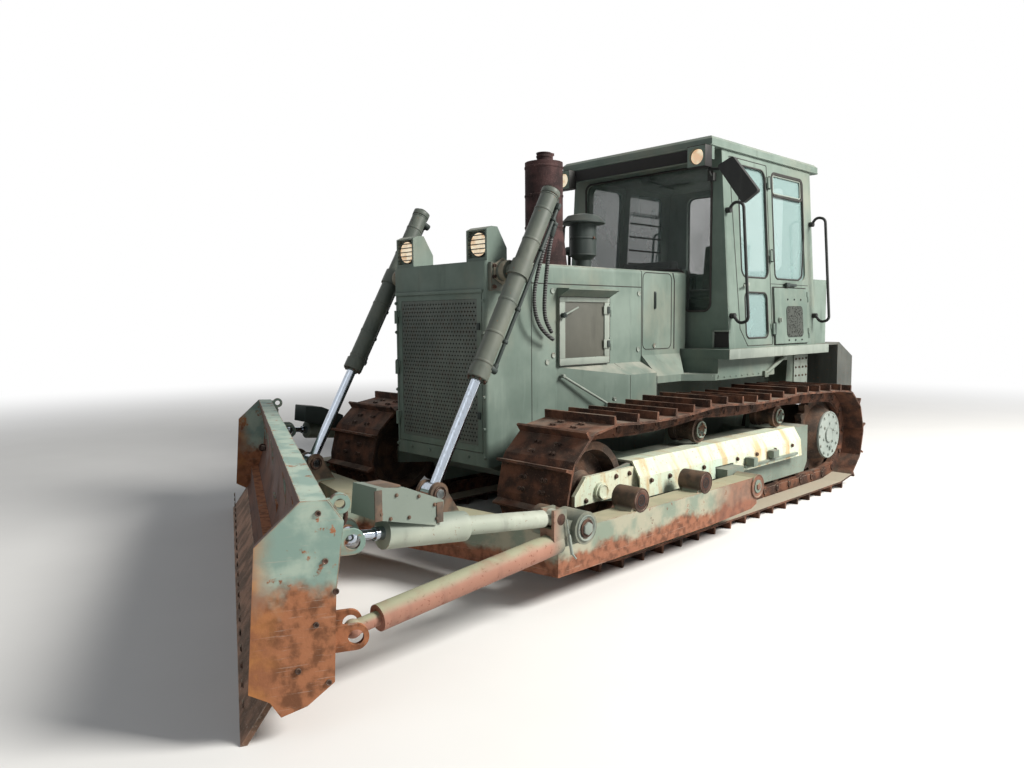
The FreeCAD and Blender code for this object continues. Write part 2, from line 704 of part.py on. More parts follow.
def side_panel():
    high = HOOD_SEAM_Z - SEAT_GAP
    wall = block(HOOD_HALF - SHEET, HOOD_HALF, GUARD_DEPTH + SEAT_GAP, HOOD_REAR_Y, SIDE_LOW_Z, high)
    mouth = block(
        HOOD_HALF - SHEET - 1, HOOD_HALF + 1, SIDE_DOOR_Y[0] + 30, SIDE_DOOR_Y[1] - 30,
        SIDE_DOOR_Z[0] + 40, SIDE_DOOR_Z[1] - 30,
    )
    plan = [
        (HOOD_HALF - SHEET, SIDE_DOOR_Y[0]), (HOOD_HALF, SIDE_DOOR_Y[0]), (LEDGE_X, LEDGE_CORNER_Y),
        (LEDGE_X, HOOD_REAR_Y), (HOOD_HALF - SHEET, HOOD_REAR_Y),
    ]
    top = SIDE_DOOR_Z[0] - 8
    flare = along_z(plan, SIDE_LOW_Z, top)
    slope = [(HOOD_HALF, top), (LEDGE_X + 50, LEDGE_LOW_Z - 50 * 0.5), (LEDGE_X + 50, top + 50), (HOOD_HALF, top + 50)]
    flare = less(flare, along_y(slope, SIDE_DOOR_Y[0] - 1, HOOD_REAR_Y + 1))
    foot = block(CHASSIS_HALF + SEAT_GAP, HOOD_HALF, GUARD_DEPTH + SEAT_GAP, HOOD_REAR_Y, SIDE_LOW_Z, SIDE_LOW_Z + 12)
    hinges = []
    for z in SIDE_HINGE_ZS:
        hinges.append(placed(hinge(SIDE_DOOR_THICK + SEAT_GAP)[0], HOOD_HALF + HINGE_OUT, SIDE_HINGE_Y, z))
    return joined(less(joined(wall, flare, foot), mouth), *hinges)


def side_door():
    x = HOOD_HALF + SEAT_GAP
    y0, y1 = SIDE_DOOR_Y
    z0, z1 = SIDE_DOOR_Z
    door = block(x, x + SIDE_DOOR_THICK, y0, y1, z0, z1)
    recess = block(x + SIDE_DOOR_THICK - 6, x + SIDE_DOOR_THICK + 1, y0 + 60, y1 - 60, z0 + 50, z1 - 70)
    hinges = []
    for z in SIDE_HINGE_ZS:
        hinges.append(placed(hinge(SIDE_DOOR_THICK + SEAT_GAP)[1], HOOD_HALF + HINGE_OUT, SIDE_HINGE_Y, z))
    visor = [(x + 2, z1 - 60), (x + SIDE_DOOR_THICK, z1 - 60), (x + 110, z1 - 14), (x + 110, z1 - 6), (x + 2, z1)]
    return joined(less(joined(door, along_y(visor, y0, y1)), recess), *hinges)


def cowl():
    outer = block(-HOOD_HALF, HOOD_HALF, HOOD_REAR_Y + SEAT_GAP, COWL_REAR_Y, COWL_LOW_Z, HOOD_TOP_Z)
    edges = [e for e in outer.Edges if e.BoundBox.YLength > 400 and e.BoundBox.ZMin > HOOD_TOP_Z - 1]
    outer = outer.makeFillet(28, edges)
    inner = block(
        -HOOD_HALF + SHEET, HOOD_HALF - SHEET, HOOD_REAR_Y - 1, COWL_REAR_Y - SHEET, COWL_LOW_Z - 1, HOOD_TOP_Z - SHEET,
    )
    return less(outer, inner)


FENDER_REAR_Y = 3040.0
FENDER_LOW_Z = 1000.0
LEDGE_HIGH_Z = 1205.0
LEDGE_REAR_Z = 1052.0
LEDGE_REAR_Y = 1940.0
LEDGE_END_Y = 2096.0
SKIRT_X = 800.0


def fender():
    """Lower body behind the hood's flare: a sloped ledge, then a skirt out under the platform."""
    front = HOOD_REAR_Y + SEAT_GAP
    root = CHASSIS_HALF + SEAT_GAP
    plan = [(root, front), (LEDGE_X, front), (LEDGE_X, LEDGE_REAR_Y), (HOOD_HALF, LEDGE_END_Y), (root, LEDGE_END_Y)]
    ledge = along_z(plan, FENDER_LOW_Z, COWL_LOW_Z - SEAT_GAP)
    slope = [(HOOD_HALF + 2, LEDGE_HIGH_Z), (LEDGE_X + 1, LEDGE_REAR_Z), (LEDGE_X + 1, 1400), (HOOD_HALF + 2, 1400)]
    ledge = less(ledge, along_y(slope, front - 1, LEDGE_END_Y + 1))
    plan = [
        (root, LEDGE_REAR_Y - 40), (LEDGE_X, LEDGE_REAR_Y - 40), (SKIRT_X, PLATFORM_FRONT_Y - 30),
        (SKIRT_X, FENDER_REAR_Y), (SKIRT_X - 100, FENDER_REAR_Y), (SKIRT_X - 100, 2260), (root, 2260),
    ]
    skirt = along_z(plan, FENDER_LOW_Z, LEDGE_REAR_Z)
    under = PLATFORM_TOP_Z - PLATFORM_EDGE - SEAT_GAP
    riser = block(root, SKIRT_X, PLATFORM_FRONT_Y + 5, FENDER_REAR_Y, FENDER_LOW_Z, under)
    riser = less(riser, block(root - 1, SKIRT_X - 100, 2260, FENDER_REAR_Y + 1, FENDER_LOW_Z - 1, under + 1))
    return joined(ledge, skirt, riser)


keep("hood", hood())
keep("side_panels", *pair(side_panel()))
keep("side_door_left", side_door())
keep("side_door_right", mirrored(side_door()))
keep("cowl", cowl())
keep("fenders", *pair(fender()))


# Platform, cab and roof
def platform():
    slab = block(
        -PLATFORM_HALF, PLATFORM_HALF, PLATFORM_FRONT_Y, PLATFORM_REAR_Y, PLATFORM_TOP_Z - PLATFORM_EDGE, PLATFORM_TOP_Z
    )
    return slab


def cab_hull(inset, low, high):
    """The cab's tapered form, smaller all round by the inset."""
    lean = (CAB_LOW_HALF - CAB_TOP_HALF) / (CAB_TOP_Z - PLATFORM_TOP_Z)
    low_half = CAB_LOW_HALF - lean * (low - PLATFORM_TOP_Z) - inset
    high_half = CAB_LOW_HALF - lean * (high - PLATFORM_TOP_Z) - inset
    outline = [(-low_half, low), (low_half, low), (high_half, high), (-high_half, high)]
    return along_y(outline, CAB_FRONT_Y + inset, CAB_REAR_Y - inset)


LEAN = (CAB_LOW_HALF - CAB_TOP_HALF) / (CAB_TOP_Z - PLATFORM_TOP_Z)


def cab_x(z):
    return CAB_LOW_HALF - LEAN * (z - PLATFORM_TOP_Z)


def window_x(y0, y1, z0, z1, radius=70.0):
    """A rounded hole through the left wall."""
    hole = block(560, 1000, y0, y1, z0, z1)
    return hole.makeFillet(radius, [e for e in hole.Edges if e.BoundBox.XLength > 400])


def window_y(x0, x1, z0, z1, y, radius=70.0):
    """A rounded hole through the front or rear wall."""
    hole = block(x0, x1, y - 100, y + 100, z0, z1)
    return hole.makeFillet(radius, [e for e in hole.Edges if e.BoundBox.YLength > 150])


SIDE_WINDOW = (3000.0, 3563.0, 1812.0, 2705.0)
DOOR_WINDOW = (2455.0, 2888.0, 1812.0, 2700.0)
DOOR_LOW_WINDOW = (2490.0, 2850.0, 1320.0, 1690.0)
REAR_WINDOW = (-520.0, 520.0, 1920.0, 2700.0)
SCREEN = (-620.0, 670.0, 1880.0, 2680.0)
SCREEN_LEG = 425.0
SCREEN_LEG_Z = 1541.0


def screen_hole(gap=0.0):
    """Windscreen opening over the hood, with a leg down each side of it."""
    x0, x1, z0, z1 = SCREEN
    hole = window_y(x0 + gap, x1 - gap, z0 + gap, z1 - gap, CAB_FRONT_Y, 90)
    left = window_y(SCREEN_LEG + gap, x1 - gap, SCREEN_LEG_Z + gap, z1 - 200, CAB_FRONT_Y, 60)
    right = window_y(x0 + gap, -SCREEN_LEG - gap, SCREEN_LEG_Z + gap, z1 - 200, CAB_FRONT_Y, 50)
    return joined(hole, left, right)


DOOR_HINGE_Y = DOOR_Y[1] + 3
DOOR_HINGE_ZS = (1345.0, 1955.0, 2560.0)
HATCH_THICK = 16.0
HATCH_HINGE_Y = HATCH_Y[1] + HINGE_RADIUS + 2
HATCH_HINGE_ZS = (1300.0, 1620.0)
WALL_LEAN = math.degrees(math.atan(LEAN))


def wall_hinges(half, y, heights, rise=0.0):
    """Hinge halves on the left wall, leaning with it."""
    out = HINGE_OUT / math.cos(math.radians(WALL_LEAN))
    return [placed(hinge(rise)[half], cab_x(z) + out, y, z, WALL_LEAN) for z in heights]


def door_outline(gap):
    """The cab door's edges as (y, z), with the front lower corner cut away, let out by the gap."""
    (y0, y1), (z0, z1) = DOOR_Y, DOOR_Z
    return [
        (y0 - gap, z1 + gap), (DOOR_CORNER[0] - gap, DOOR_CORNER[1] - gap / 2), (DOOR_FOOT_Y - gap / 2, z0 - gap),
        (y1 + gap, z0 - gap), (y1 + gap, z1 + gap),
    ]


def cab_shell():
    top = CAB_TOP_Z - SEAT_GAP
    low = PLATFORM_TOP_Z + SEAT_GAP
    shell = cab_hull(0.0, low, top)
    inner = cab_hull(CAB_WALL, low - 1, top - CAB_WALL)
    door = along_x(door_outline(DOOR_GAP), 560, 1000)
    hatch = block(560, 1000, HATCH_Y[0] + 30, HATCH_Y[1] - 30, HATCH_Z[0] + 30, HATCH_Z[1] - 30)
    side = window_x(*SIDE_WINDOW)
    tools = [inner, screen_hole(), window_y(*REAR_WINDOW, CAB_REAR_Y)]
    for tool in (door, hatch, side):
        tools += pair(tool)
    hinges = wall_hinges(0, DOOR_HINGE_Y, DOOR_HINGE_ZS)
    hinges += wall_hinges(0, HATCH_HINGE_Y, HATCH_HINGE_ZS, HATCH_THICK + SEAT_GAP)
    return joined(less(shell, *tools), *hinges, *[mirrored(h) for h in hinges])


def cab_glass():
    """Fixed panes, each seated in the middle of its opening."""
    panes = []
    gap = SEAT_GAP
    x0, x1, z0, z1 = REAR_WINDOW
    rear = window_y(x0 + gap, x1 - gap, z0 + gap, z1 - gap, CAB_REAR_Y)
    for hole, y in ((screen_hole(gap), CAB_FRONT_Y), (rear, CAB_REAR_Y - CAB_WALL)):
        panes.append(hole.common(block(-900, 900, y + 15, y + 15 + GLASS, 1000, 3000)))
    y0, y1, z0, z1 = SIDE_WINDOW
    pane = window_x(y0 + gap, y1 - gap, z0 + gap, z1 - gap)
    pane = pane.common(cab_hull(15, 1300, 2740).cut(cab_hull(15 + GLASS, 1200, 2760)))
    panes += pair([s for s in pane.Solids if s.CenterOfMass.x > 0][0])
    return panes


def cab_door():
    panel = cab_hull(0.0, 1245, 2780).cut(cab_hull(CAB_WALL - 6, 1241, 2785))
    panel = panel.common(along_x(door_outline(0.0), 600, 1000))
    panel = less(panel, window_x(*DOOR_WINDOW), window_x(*DOOR_LOW_WINDOW))
    return joined(panel, *wall_hinges(1, DOOR_HINGE_Y, DOOR_HINGE_ZS))


def door_glass():
    gap = SEAT_GAP
    sheet = cab_hull(14, 1250, 2740).cut(cab_hull(14 + GLASS, 1240, 2750))
    panes = []
    for y0, y1, z0, z1 in (DOOR_WINDOW, DOOR_LOW_WINDOW):
        panes.append(window_x(y0 + gap, y1 - gap, z0 + gap, z1 - gap).common(sheet))
    return panes


def hatch():
    panel = cab_hull(-HATCH_THICK - SEAT_GAP, 1245, 2745).cut(cab_hull(-SEAT_GAP, 1241, 2749))
    panel = panel.common(block(600, 1000, HATCH_Y[0], HATCH_Y[1], HATCH_Z[0], HATCH_Z[1]))
    return joined(panel, *wall_hinges(1, HATCH_HINGE_Y, HATCH_HINGE_ZS, HATCH_THICK + SEAT_GAP))


ROOF_CHAMFER = 24.0


def roof():
    """Flat roof with a deeper fascia across its front."""
    slab = block(-ROOF_HALF, ROOF_HALF, ROOF_FRONT_Y, ROOF_REAR_Y, CAB_TOP_Z, ROOF_TOP_Z)
    edges = [e for e in slab.Edges if e.BoundBox.ZMin > ROOF_TOP_Z - 1]
    slab = slab.makeChamfer(ROOF_CHAMFER, edges)
    back = ROOF_FRONT_Y + FASCIA_THICK
    fascia = block(-ROOF_HALF, ROOF_HALF, ROOF_FRONT_Y, back, FASCIA_LOW_Z, CAB_TOP_Z + 1)
    return joined(slab, fascia)


keep("platform", platform())
keep("cab_shell", cab_shell())
keep("cab_glass", *cab_glass())
keep("cab_door_left", cab_door())
keep("cab_door_right", mirrored(cab_door()))
keep("door_glass_left", *door_glass())
keep("door_glass_right", *[mirrored(g) for g in door_glass()])
keep("hatch_left", hatch())
keep("hatch_right", mirrored(hatch()))
keep("cab_roof", roof())


def fuel_tank():
    start = CAB_REAR_Y + SEAT_GAP
    return block(-TANK_HALF, TANK_HALF, start, start + TANK_DEPTH, PLATFORM_TOP_Z + SEAT_GAP, PLATFORM_TOP_Z + TANK_HEIGHT)


keep("fuel_tank", fuel_tank())


SEAT_Y = CAB_REAR_Y - 670
SEAT_HALF = 250.0
SEAT_DEPTH = 480.0
SEAT_CUSHION_Z = PLATFORM_TOP_Z + 420
CUSHION_THICK = 100.0
BACK_HEIGHT = 520.0
DASH_HALF = 330.0
DASH_DEPTH = 175.0
DASH_HEIGHT = 640.0


def seat():
    """Base, cushion and a back that leans to the rear."""
    rear, top = SEAT_Y + SEAT_DEPTH, SEAT_CUSHION_Z + CUSHION_THICK
    base = block(-SEAT_HALF + 20, SEAT_HALF - 20, SEAT_Y, rear, PLATFORM_TOP_Z + SEAT_GAP, SEAT_CUSHION_Z)
    cushion = block(-SEAT_HALF, SEAT_HALF, SEAT_Y - 20, rear, SEAT_CUSHION_Z, top)
    side = [(rear - 60, top - 60), (rear + 60, top - 60), (rear + 140, top + BACK_HEIGHT), (rear + 40, top + BACK_HEIGHT)]
    back = along_x(side, -SEAT_HALF + 10, SEAT_HALF - 10)
    return joined(base, cushion, back)


def dash():
    start = CAB_FRONT_Y + CAB_WALL + SEAT_GAP
    return block(-DASH_HALF, DASH_HALF, start, start + DASH_DEPTH, PLATFORM_TOP_Z + SEAT_GAP, PLATFORM_TOP_Z + DASH_HEIGHT)


keep("seat", seat())
keep("dash", dash())


# Box behind the platform, exhaust, air cleaner and lamps
REAR_BOX_HALF = 800.0
REAR_BOX_Y = PLATFORM_REAR_Y + 438
REAR_BOX_DEPTH = 340.0
REAR_BOX_LOW_Z = PLATFORM_TOP_Z - 440


def rear_box():
    """Box behind the platform, hung from a plate, with a web down to the rear case."""
    y, low, top = REAR_BOX_Y, REAR_BOX_LOW_Z, PLATFORM_TOP_Z
    side = [(y, low), (y, top), (y + 30, top + 5), (y + REAR_BOX_DEPTH, top - 140), (y + REAR_BOX_DEPTH, low)]
    plate = block(-REAR_BOX_HALF, REAR_BOX_HALF, PLATFORM_REAR_Y + SEAT_GAP, y + 10, top - 18, top)
    web = block(-300, 300, CASE_REAR_Y + SEAT_GAP, y + 10, low + 60, low + 300)
    return joined(along_x(side, -REAR_BOX_HALF, REAR_BOX_HALF), plate, web)


keep("rear_box", rear_box())
EXHAUST_X, EXHAUST_Y = 0.0, 1020.0
MUFFLER_RADIUS = 140.0
MUFFLER_TOP_Z = 2630.0
OUTLET_TOP_Z = 2695.0
OUTLET_RADIUS = 52.0
OUTLET_BORE = 46.0
FLAP_Z = OUTLET_TOP_Z + SEAT_GAP
FLAP_RADIUS = 56.0
FLAP_THICK = 8.0
FLAP_PIN_Y = EXHAUST_Y + 68
FLAP_PIN_Z = FLAP_Z + FLAP_THICK / 2
FLAP_PIN_RADIUS = 4.0
FLAP_KNUCKLE = 8.0
FLAP_ARM_HALF = 12.0
FLAP_EAR_IN = 14.0
FLAP_EAR_OUT = 22.0


def muffler():
    """Tapered guard, silencer and outlet, with two ears that carry the rain flap's pin."""
    guard = Part.makeCone(175, MUFFLER_RADIUS + 4, 275, V(EXHAUST_X, EXHAUST_Y, HOOD_TOP_Z + SEAT_GAP))
    silencer = round_z(HOOD_TOP_Z + 260, MUFFLER_TOP_Z, EXHAUST_X, EXHAUST_Y, MUFFLER_RADIUS)
    outlet = round_z(MUFFLER_TOP_Z - 30, OUTLET_TOP_Z, EXHAUST_X, EXHAUST_Y, OUTLET_RADIUS)
    bore = round_z(MUFFLER_TOP_Z + 20, OUTLET_TOP_Z + 5, EXHAUST_X, EXHAUST_Y, OUTLET_BORE)
    foot_y = EXHAUST_Y + OUTLET_BORE
    ears = []
    for x in (-FLAP_EAR_OUT, FLAP_EAR_IN):
        x0, x1 = EXHAUST_X + x, EXHAUST_X + x + FLAP_EAR_OUT - FLAP_EAR_IN
        ears.append(block(x0, x1, foot_y, FLAP_PIN_Y + FLAP_KNUCKLE, OUTLET_TOP_Z - 35, OUTLET_TOP_Z - 5))
        ears.append(block(x0, x1, FLAP_PIN_Y - FLAP_KNUCKLE, FLAP_PIN_Y + FLAP_KNUCKLE, OUTLET_TOP_Z - 6, FLAP_PIN_Z))
        ears.append(round_x(x0, x1, FLAP_PIN_Y, FLAP_PIN_Z, FLAP_KNUCKLE))
    pin = round_x(EXHAUST_X - FLAP_EAR_OUT, EXHAUST_X + FLAP_EAR_OUT, FLAP_PIN_Y, FLAP_PIN_Z, FLAP_PIN_RADIUS)
    return joined(less(joined(guard, silencer, outlet), bore), *ears, pin)


def rain_flap():
    """Lid of the outlet, whose tail holds a weight behind its pin."""
    x0, x1 = EXHAUST_X - FLAP_ARM_HALF, EXHAUST_X + FLAP_ARM_HALF
    top = FLAP_Z + FLAP_THICK
    lid = round_z(FLAP_Z, top, EXHAUST_X, EXHAUST_Y, FLAP_RADIUS)
    arm = block(x0, x1, EXHAUST_Y, FLAP_PIN_Y, FLAP_Z, top)
    knuckle = round_x(x0, x1, FLAP_PIN_Y, FLAP_PIN_Z, FLAP_KNUCKLE)
    weight = block(x0, x1, FLAP_PIN_Y + 4, FLAP_PIN_Y + 32, FLAP_Z - 2, top + 10)
    bore = round_x(x0 - 1, x1 + 1, FLAP_PIN_Y, FLAP_PIN_Z, FLAP_PIN_RADIUS + RUNNING_FIT)
    return less(joined(lid, arm, knuckle, weight), bore)


keep("muffler", muffler())
keep("rain_flap", rain_flap())
CLEANER_X, CLEANER_Y = 100.0, 1345.0
cleaner = turned_z(
    [(0, HOOD_TOP_Z + SEAT_GAP), (60, HOOD_TOP_Z + SEAT_GAP), (60, 1930), (100, 1965), (100, 2200), (165, 2205),
     (165, 2215), (120, 2262), (50, 2278), (0, 2278)],
    CLEANER_X, CLEANER_Y,
)
keep("air_cleaner", cleaner)


def headlamp():
    outline = [(20, HOOD_TOP_Z - 5 + SEAT_GAP), (20, 2040), (60, 2058), (110, 2058), (190, 1930), (190, HOOD_TOP_Z - 5 + SEAT_GAP)]
    shell = along_x(outline, 276, 468)
    mouth = block(292, 452, 0, 50, 1866, 2032)
    return less(shell, mouth)


def work_lamp():
    x, z = 683.0, 2707.0
    half = 76.0
    front = ROOF_FRONT_Y - SEAT_GAP
    box_part = block(x - half, x + half, front - 95, front, z - half, z + half)
    return less(box_part, round_y(front - 100, front - 60, x, z, 62))


keep("lamps", *pair(headlamp()), *pair(work_lamp()))


def bent_tube(points, radius, corner):
    """A round tube along straight runs joined by bends."""
    edges, start = [], points[0]
    for before, at, after in zip(points, points[1:], points[2:]):
        back, on = (before - at).normalize(), (after - at).normalize()
        first, last = at + back * corner, at + on * corner
        half = back.getAngle(on) / 2
        centre = at + (back + on).normalize() * (corner / math.cos(half))
        edges.append(Part.makeLine(start, first))
        middle = centre - (back + on).normalize() * (corner * math.tan(half))
        edges.append(Part.Arc(first, middle, last).toShape())
        start = last
    edges.append(Part.makeLine(start, points[-1]))
    path = Part.Wire(edges)
    run = points[1] - points[0]
    mouth = Part.Wire(Part.makeCircle(radius, points[0], run))
    return path.makePipeShell([mouth], True, True)


RAIL_TUBE = 12.0
RAIL_STAND = 150.0
RAIL_FOOT = 22.0
RAIL_LOW_Z = 1440.0
RAIL_HIGH_Z = 2380.0
FRONT_RAIL_Y = 2262.0
REAR_RAIL_Y = 3680.0


def handrail(y):
    """A long loop that stands out from the left wall near one corner of the cab."""
    low, high = cab_x(RAIL_LOW_Z), cab_x(RAIL_HIGH_Z)
    top_foot, low_foot = RAIL_HIGH_Z - 60, RAIL_LOW_Z + 60
    loop = bent_tube(
        [V(high + 25, y, top_foot), V(high + 70, y, RAIL_HIGH_Z), V(high + RAIL_STAND, y, RAIL_HIGH_Z - 20),
         V(low + RAIL_STAND, y, RAIL_LOW_Z + 20), V(low + 70, y, RAIL_LOW_Z), V(low + 25, y, low_foot)],
        RAIL_TUBE, 35,
    )
    feet = [round_x(cab_x(z - RAIL_FOOT) + SEAT_GAP, cab_x(z) + 40, y, z, RAIL_FOOT) for z in (top_foot, low_foot)]
    return joined(loop, *feet)


rails = []
for y in (FRONT_RAIL_Y, REAR_RAIL_Y):
    rails += pair(handrail(y))
keep("handrails", *rails)


# Mirror on its arm ahead of the left front pillar
MIRROR_CORNERS = [(848.0, 2617.0), (978.0, 2670.0), (1189.0, 2394.0), (1063.0, 2316.0)]
MIRROR_Y = 2020.0
MIRROR_HALF_DEPTH = 20.0
MIRROR_ARM = 11.0


def mirror():
    """Tilted rectangular mirror, its arm bent from the front wall out to the mirror's back."""
    y = MIRROR_Y
    glass = along_y(MIRROR_CORNERS, y - MIRROR_HALF_DEPTH, y + MIRROR_HALF_DEPTH)
    glass = glass.makeFillet(18, [e for e in glass.Edges if e.BoundBox.XLength < 1 and e.BoundBox.ZLength < 1])
    root = V(ROOF_HALF - 80, CAB_FRONT_Y - 30, 2580)
    route = [root, root + V(30, -100, 40), V(940, y + 40, 2600), V(985, y + MIRROR_HALF_DEPTH - 5, 2540)]
    foot = block(root.x - 25, root.x + 25, CAB_FRONT_Y - 45, CAB_FRONT_Y - SEAT_GAP, root.z - 30, root.z + 30)
    return joined(glass, bent_tube(route, MIRROR_ARM, 30), foot)


keep("mirror", mirror())


# Blade, made square to the machine
def blade_y(back):
    return back - BALL_BACK


def arc_face(front_top, front_mid, front_low, thickness):
    """Curved plate between two arcs, in the plane that x is normal to."""
    def p(point, shift):
        return V(0, blade_y(point[0]) + shift, point[1])
    front = Part.Arc(p(front_top, 0), p(front_mid, 0), p(front_low, 0)).toShape()
    back = Part.Arc(p(front_low, thickness), p(front_mid, thickness), p(front_top, thickness)).toShape()
    low = Part.makeLine(p(front_low, 0), p(front_low, thickness))
    high = Part.makeLine(p(front_top, thickness), p(front_top, 0))
    return Part.Face(Part.Wire([front, low, back, high]))


BLADE_TOP_Z = 858.0
MOULD_TOP = (235.0, BLADE_TOP_Z)
MOULD_MID = (262.0, 520.0)
MOULD_LOW = (125.0, 165.0)


def blade():
    half = BLADE_HALF - END_PLATE + 1
    plate = arc_face(MOULD_TOP, MOULD_MID, MOULD_LOW, MOULD_THICKNESS)
    plate = plate.extrude(V(2 * half, 0, 0)).translated(V(-half, 0, 0))
    # back, height of each corner
    top_box = [(237, 838), (235, BLADE_TOP_Z), (328, 855), (340, 760), (276, 690), (262, 690)]
    low_box = [(145, 165), (160, 330), (330, 330), (330, 193), (240, 140), (135, 140)]
    rib = [(250, 300), (268, 500), (255, 720), (300, 720), (330, 640), (330, 300)]
    end = [
        (43, 195), (77, 709), (235, BLADE_TOP_Z), (328, 855), (384, 775), (351, 516), (338, 193), (240, 120),
        (150, 95), (114, 154),
    ]
    parts = [plate]
    for outline in (top_box, low_box):
        parts.append(along_x([(blade_y(b), z) for b, z in outline], -half, half))
    for i in range(1, int((LINK_LUG_X - LUG_SPREAD) / RIB_PITCH) + 1):
        for x in (-i * RIB_PITCH, i * RIB_PITCH):
            parts.append(along_x([(blade_y(b), z) for b, z in rib], x - 15, x + 15))
    for x in (-BLADE_HALF, BLADE_HALF - END_PLATE):
        parts.append(along_x([(blade_y(b), z) for b, z in end], x, x + END_PLATE))
    # lugs for the struts and links, in pairs each side of their pins
    for x, z in ((STRUT_LUG_X, LOW_LUG_Z), (LINK_LUG_X, HIGH_LUG_Z)):
        for side in (-1, 1):
            for dx in (-LUG_SPREAD - LUG_PLATE, LUG_SPREAD):
                near = side * x + dx
                lug = joined(
                    block(near, near + LUG_PLATE, blade_y(260), blade_y(LUG_BACK), z - 50, z + 50),
                    round_x(near, near + LUG_PLATE, blade_y(LUG_BACK), z, 50),
                )
                hole = round_x(near - 1, near + LUG_PLATE + 1, blade_y(LUG_BACK), z, 30)
                parts.append(less(lug, hole))
    stem = round_y(blade_y(250), 0, 0, 0, 45)
    stem.translate(V(0, 0, BALL_Z))
    parts.append(stem)
    parts.append(Part.makeSphere(BALL_RADIUS, V(0, 0, BALL_Z)))
    parts.append(block(-170, 170, blade_y(240), blade_y(345), 180, 460))
    for side in (-1, 1):
        x = side * (BLADE_HALF - 45)
        eye = joined(
            block(x - 14, x + 14, blade_y(290), blade_y(376), 790, 850),
            round_x(x - 14, x + 14, blade_y(376), 830, 37),
        )
        parts.append(less(eye, round_x(x - 15, x + 15, blade_y(376), 830, 19)))
    return joined(*parts)


def cutting_edge():
    outline = [(11, 0), (122, 166), (140, 155), (36, 0)]
    gap = SEAT_GAP
    half = BLADE_HALF - END_PLATE - gap
    bar = along_x([(blade_y(b), z) for b, z in outline], -half, half)
    return bar


def set_blade(shape):
    """Turns the blade to its angle and puts its ball on the push frame."""
    moved = shape.copy()
    moved.rotate(V(0, 0, 0), V(0, 0, 1), -BLADE_ANGLE)
    moved.translate(V(0, BALL_Y, 0))
    return moved


def blade_point(x, back, z):
    a = math.radians(-BLADE_ANGLE)
    y = blade_y(back)
    return V(x * math.cos(a) - y * math.sin(a), BALL_Y + x * math.sin(a) + y * math.cos(a), z)


keep("blade", set_blade(blade()))
keep("cutting_edge", set_blade(cutting_edge()))

SOCKET_YS = [SOCKET_FRONT_Y + i * SOCKET_PITCH for i in range(3)]


# Push frame
def push_frame():
    corner_y = SOCKET_FRONT_Y - SOCKET_RADIUS
    outer = [
        (0, NOSE_FRONT_Y), (ARM_IN - 20, corner_y + 5), (ARM_OUT, corner_y + 40), (ARM_OUT, ARM_PIVOT_Y),
        (ARM_IN, ARM_PIVOT_Y), (ARM_IN, -235), (ARM_IN - 40, -275), (0, NOSE_FRONT_Y + NOSE_WIDTH + 60),
    ]
    half = along_z(outer, ARM_LOW_Z, ARM_TOP_Z)
    under = [(1000, ARM_LOW_Z - 1), (ARM_PIVOT_Y + 1, ARM_LOW_Z - 1), (ARM_PIVOT_Y + 1, 215), (1560, 190)]
    half = less(half, along_x(under, ARM_IN - 1, ARM_OUT + 1))
    half = joined(half, round_x(ARM_IN, ARM_OUT, ARM_PIVOT_Y, ARM_PIVOT_Z, 82))
    half = less(half, round_x(ARM_IN - 1, ARM_OUT + 1, ARM_PIVOT_Y, ARM_PIVOT_Z, ARM_PIVOT_RADIUS))
    for y in SOCKET_YS:
        foot = [(y - 85, ARM_TOP_Z - 5), (y - 45, SOCKET_Z), (y + 45, SOCKET_Z), (y + 85, ARM_TOP_Z - 5)]
        half = joined(
            half, along_x(foot, ARM_IN + 20, ARM_OUT - 12), round_x(ARM_IN - 10, ARM_OUT, y, SOCKET_Z, SOCKET_RADIUS)
        )
    for y in SOCKET_YS:
        half = less(half, round_x(ARM_IN - 11, ARM_OUT + 1, y, SOCKET_Z, SOCKET_BORE))
    for dx in (-EYE_HALF - 30, EYE_HALF + 8):
        cheek = [(ROD_EYE_Y - 62, ROD_EYE_Z), (ROD_EYE_Y + 62, ROD_EYE_Z), (ROD_EYE_Y + 150, 395), (ROD_EYE_Y - 20, 395)]
        lug = joined(
            along_x(cheek, LIFT_X + dx, LIFT_X + dx + 22), round_x(LIFT_X + dx, LIFT_X + dx + 22, ROD_EYE_Y, ROD_EYE_Z, 62)
        )
        hole = round_x(LIFT_X + dx - 1, LIFT_X + dx + 23, ROD_EYE_Y, ROD_EYE_Z, EYE_PIN + EYE_DRIFT)
        half = joined(half, less(lug, hole))
    whole = joined(half, mirrored(half))
    socket = round_y(BALL_Y + 42, NOSE_FRONT_Y + 60, 0, BALL_Z, 105)
    whole = joined(whole, socket)
    return less(whole, Part.makeSphere(BALL_RADIUS + SEAT_GAP, V(0, BALL_Y, BALL_Z)))


keep("push_frame", push_frame())


# Struts: each pair shares a bracket whose pin sits in a socket of the push frame.
HUB_X = 1505.0
TUBE_RADIUS = 55.0
LINK_RADIUS = 42.0
LINK_REAR_Z = 520.0
LINK_EYE_HALF = 28.0
LINK_PIN = 20.0


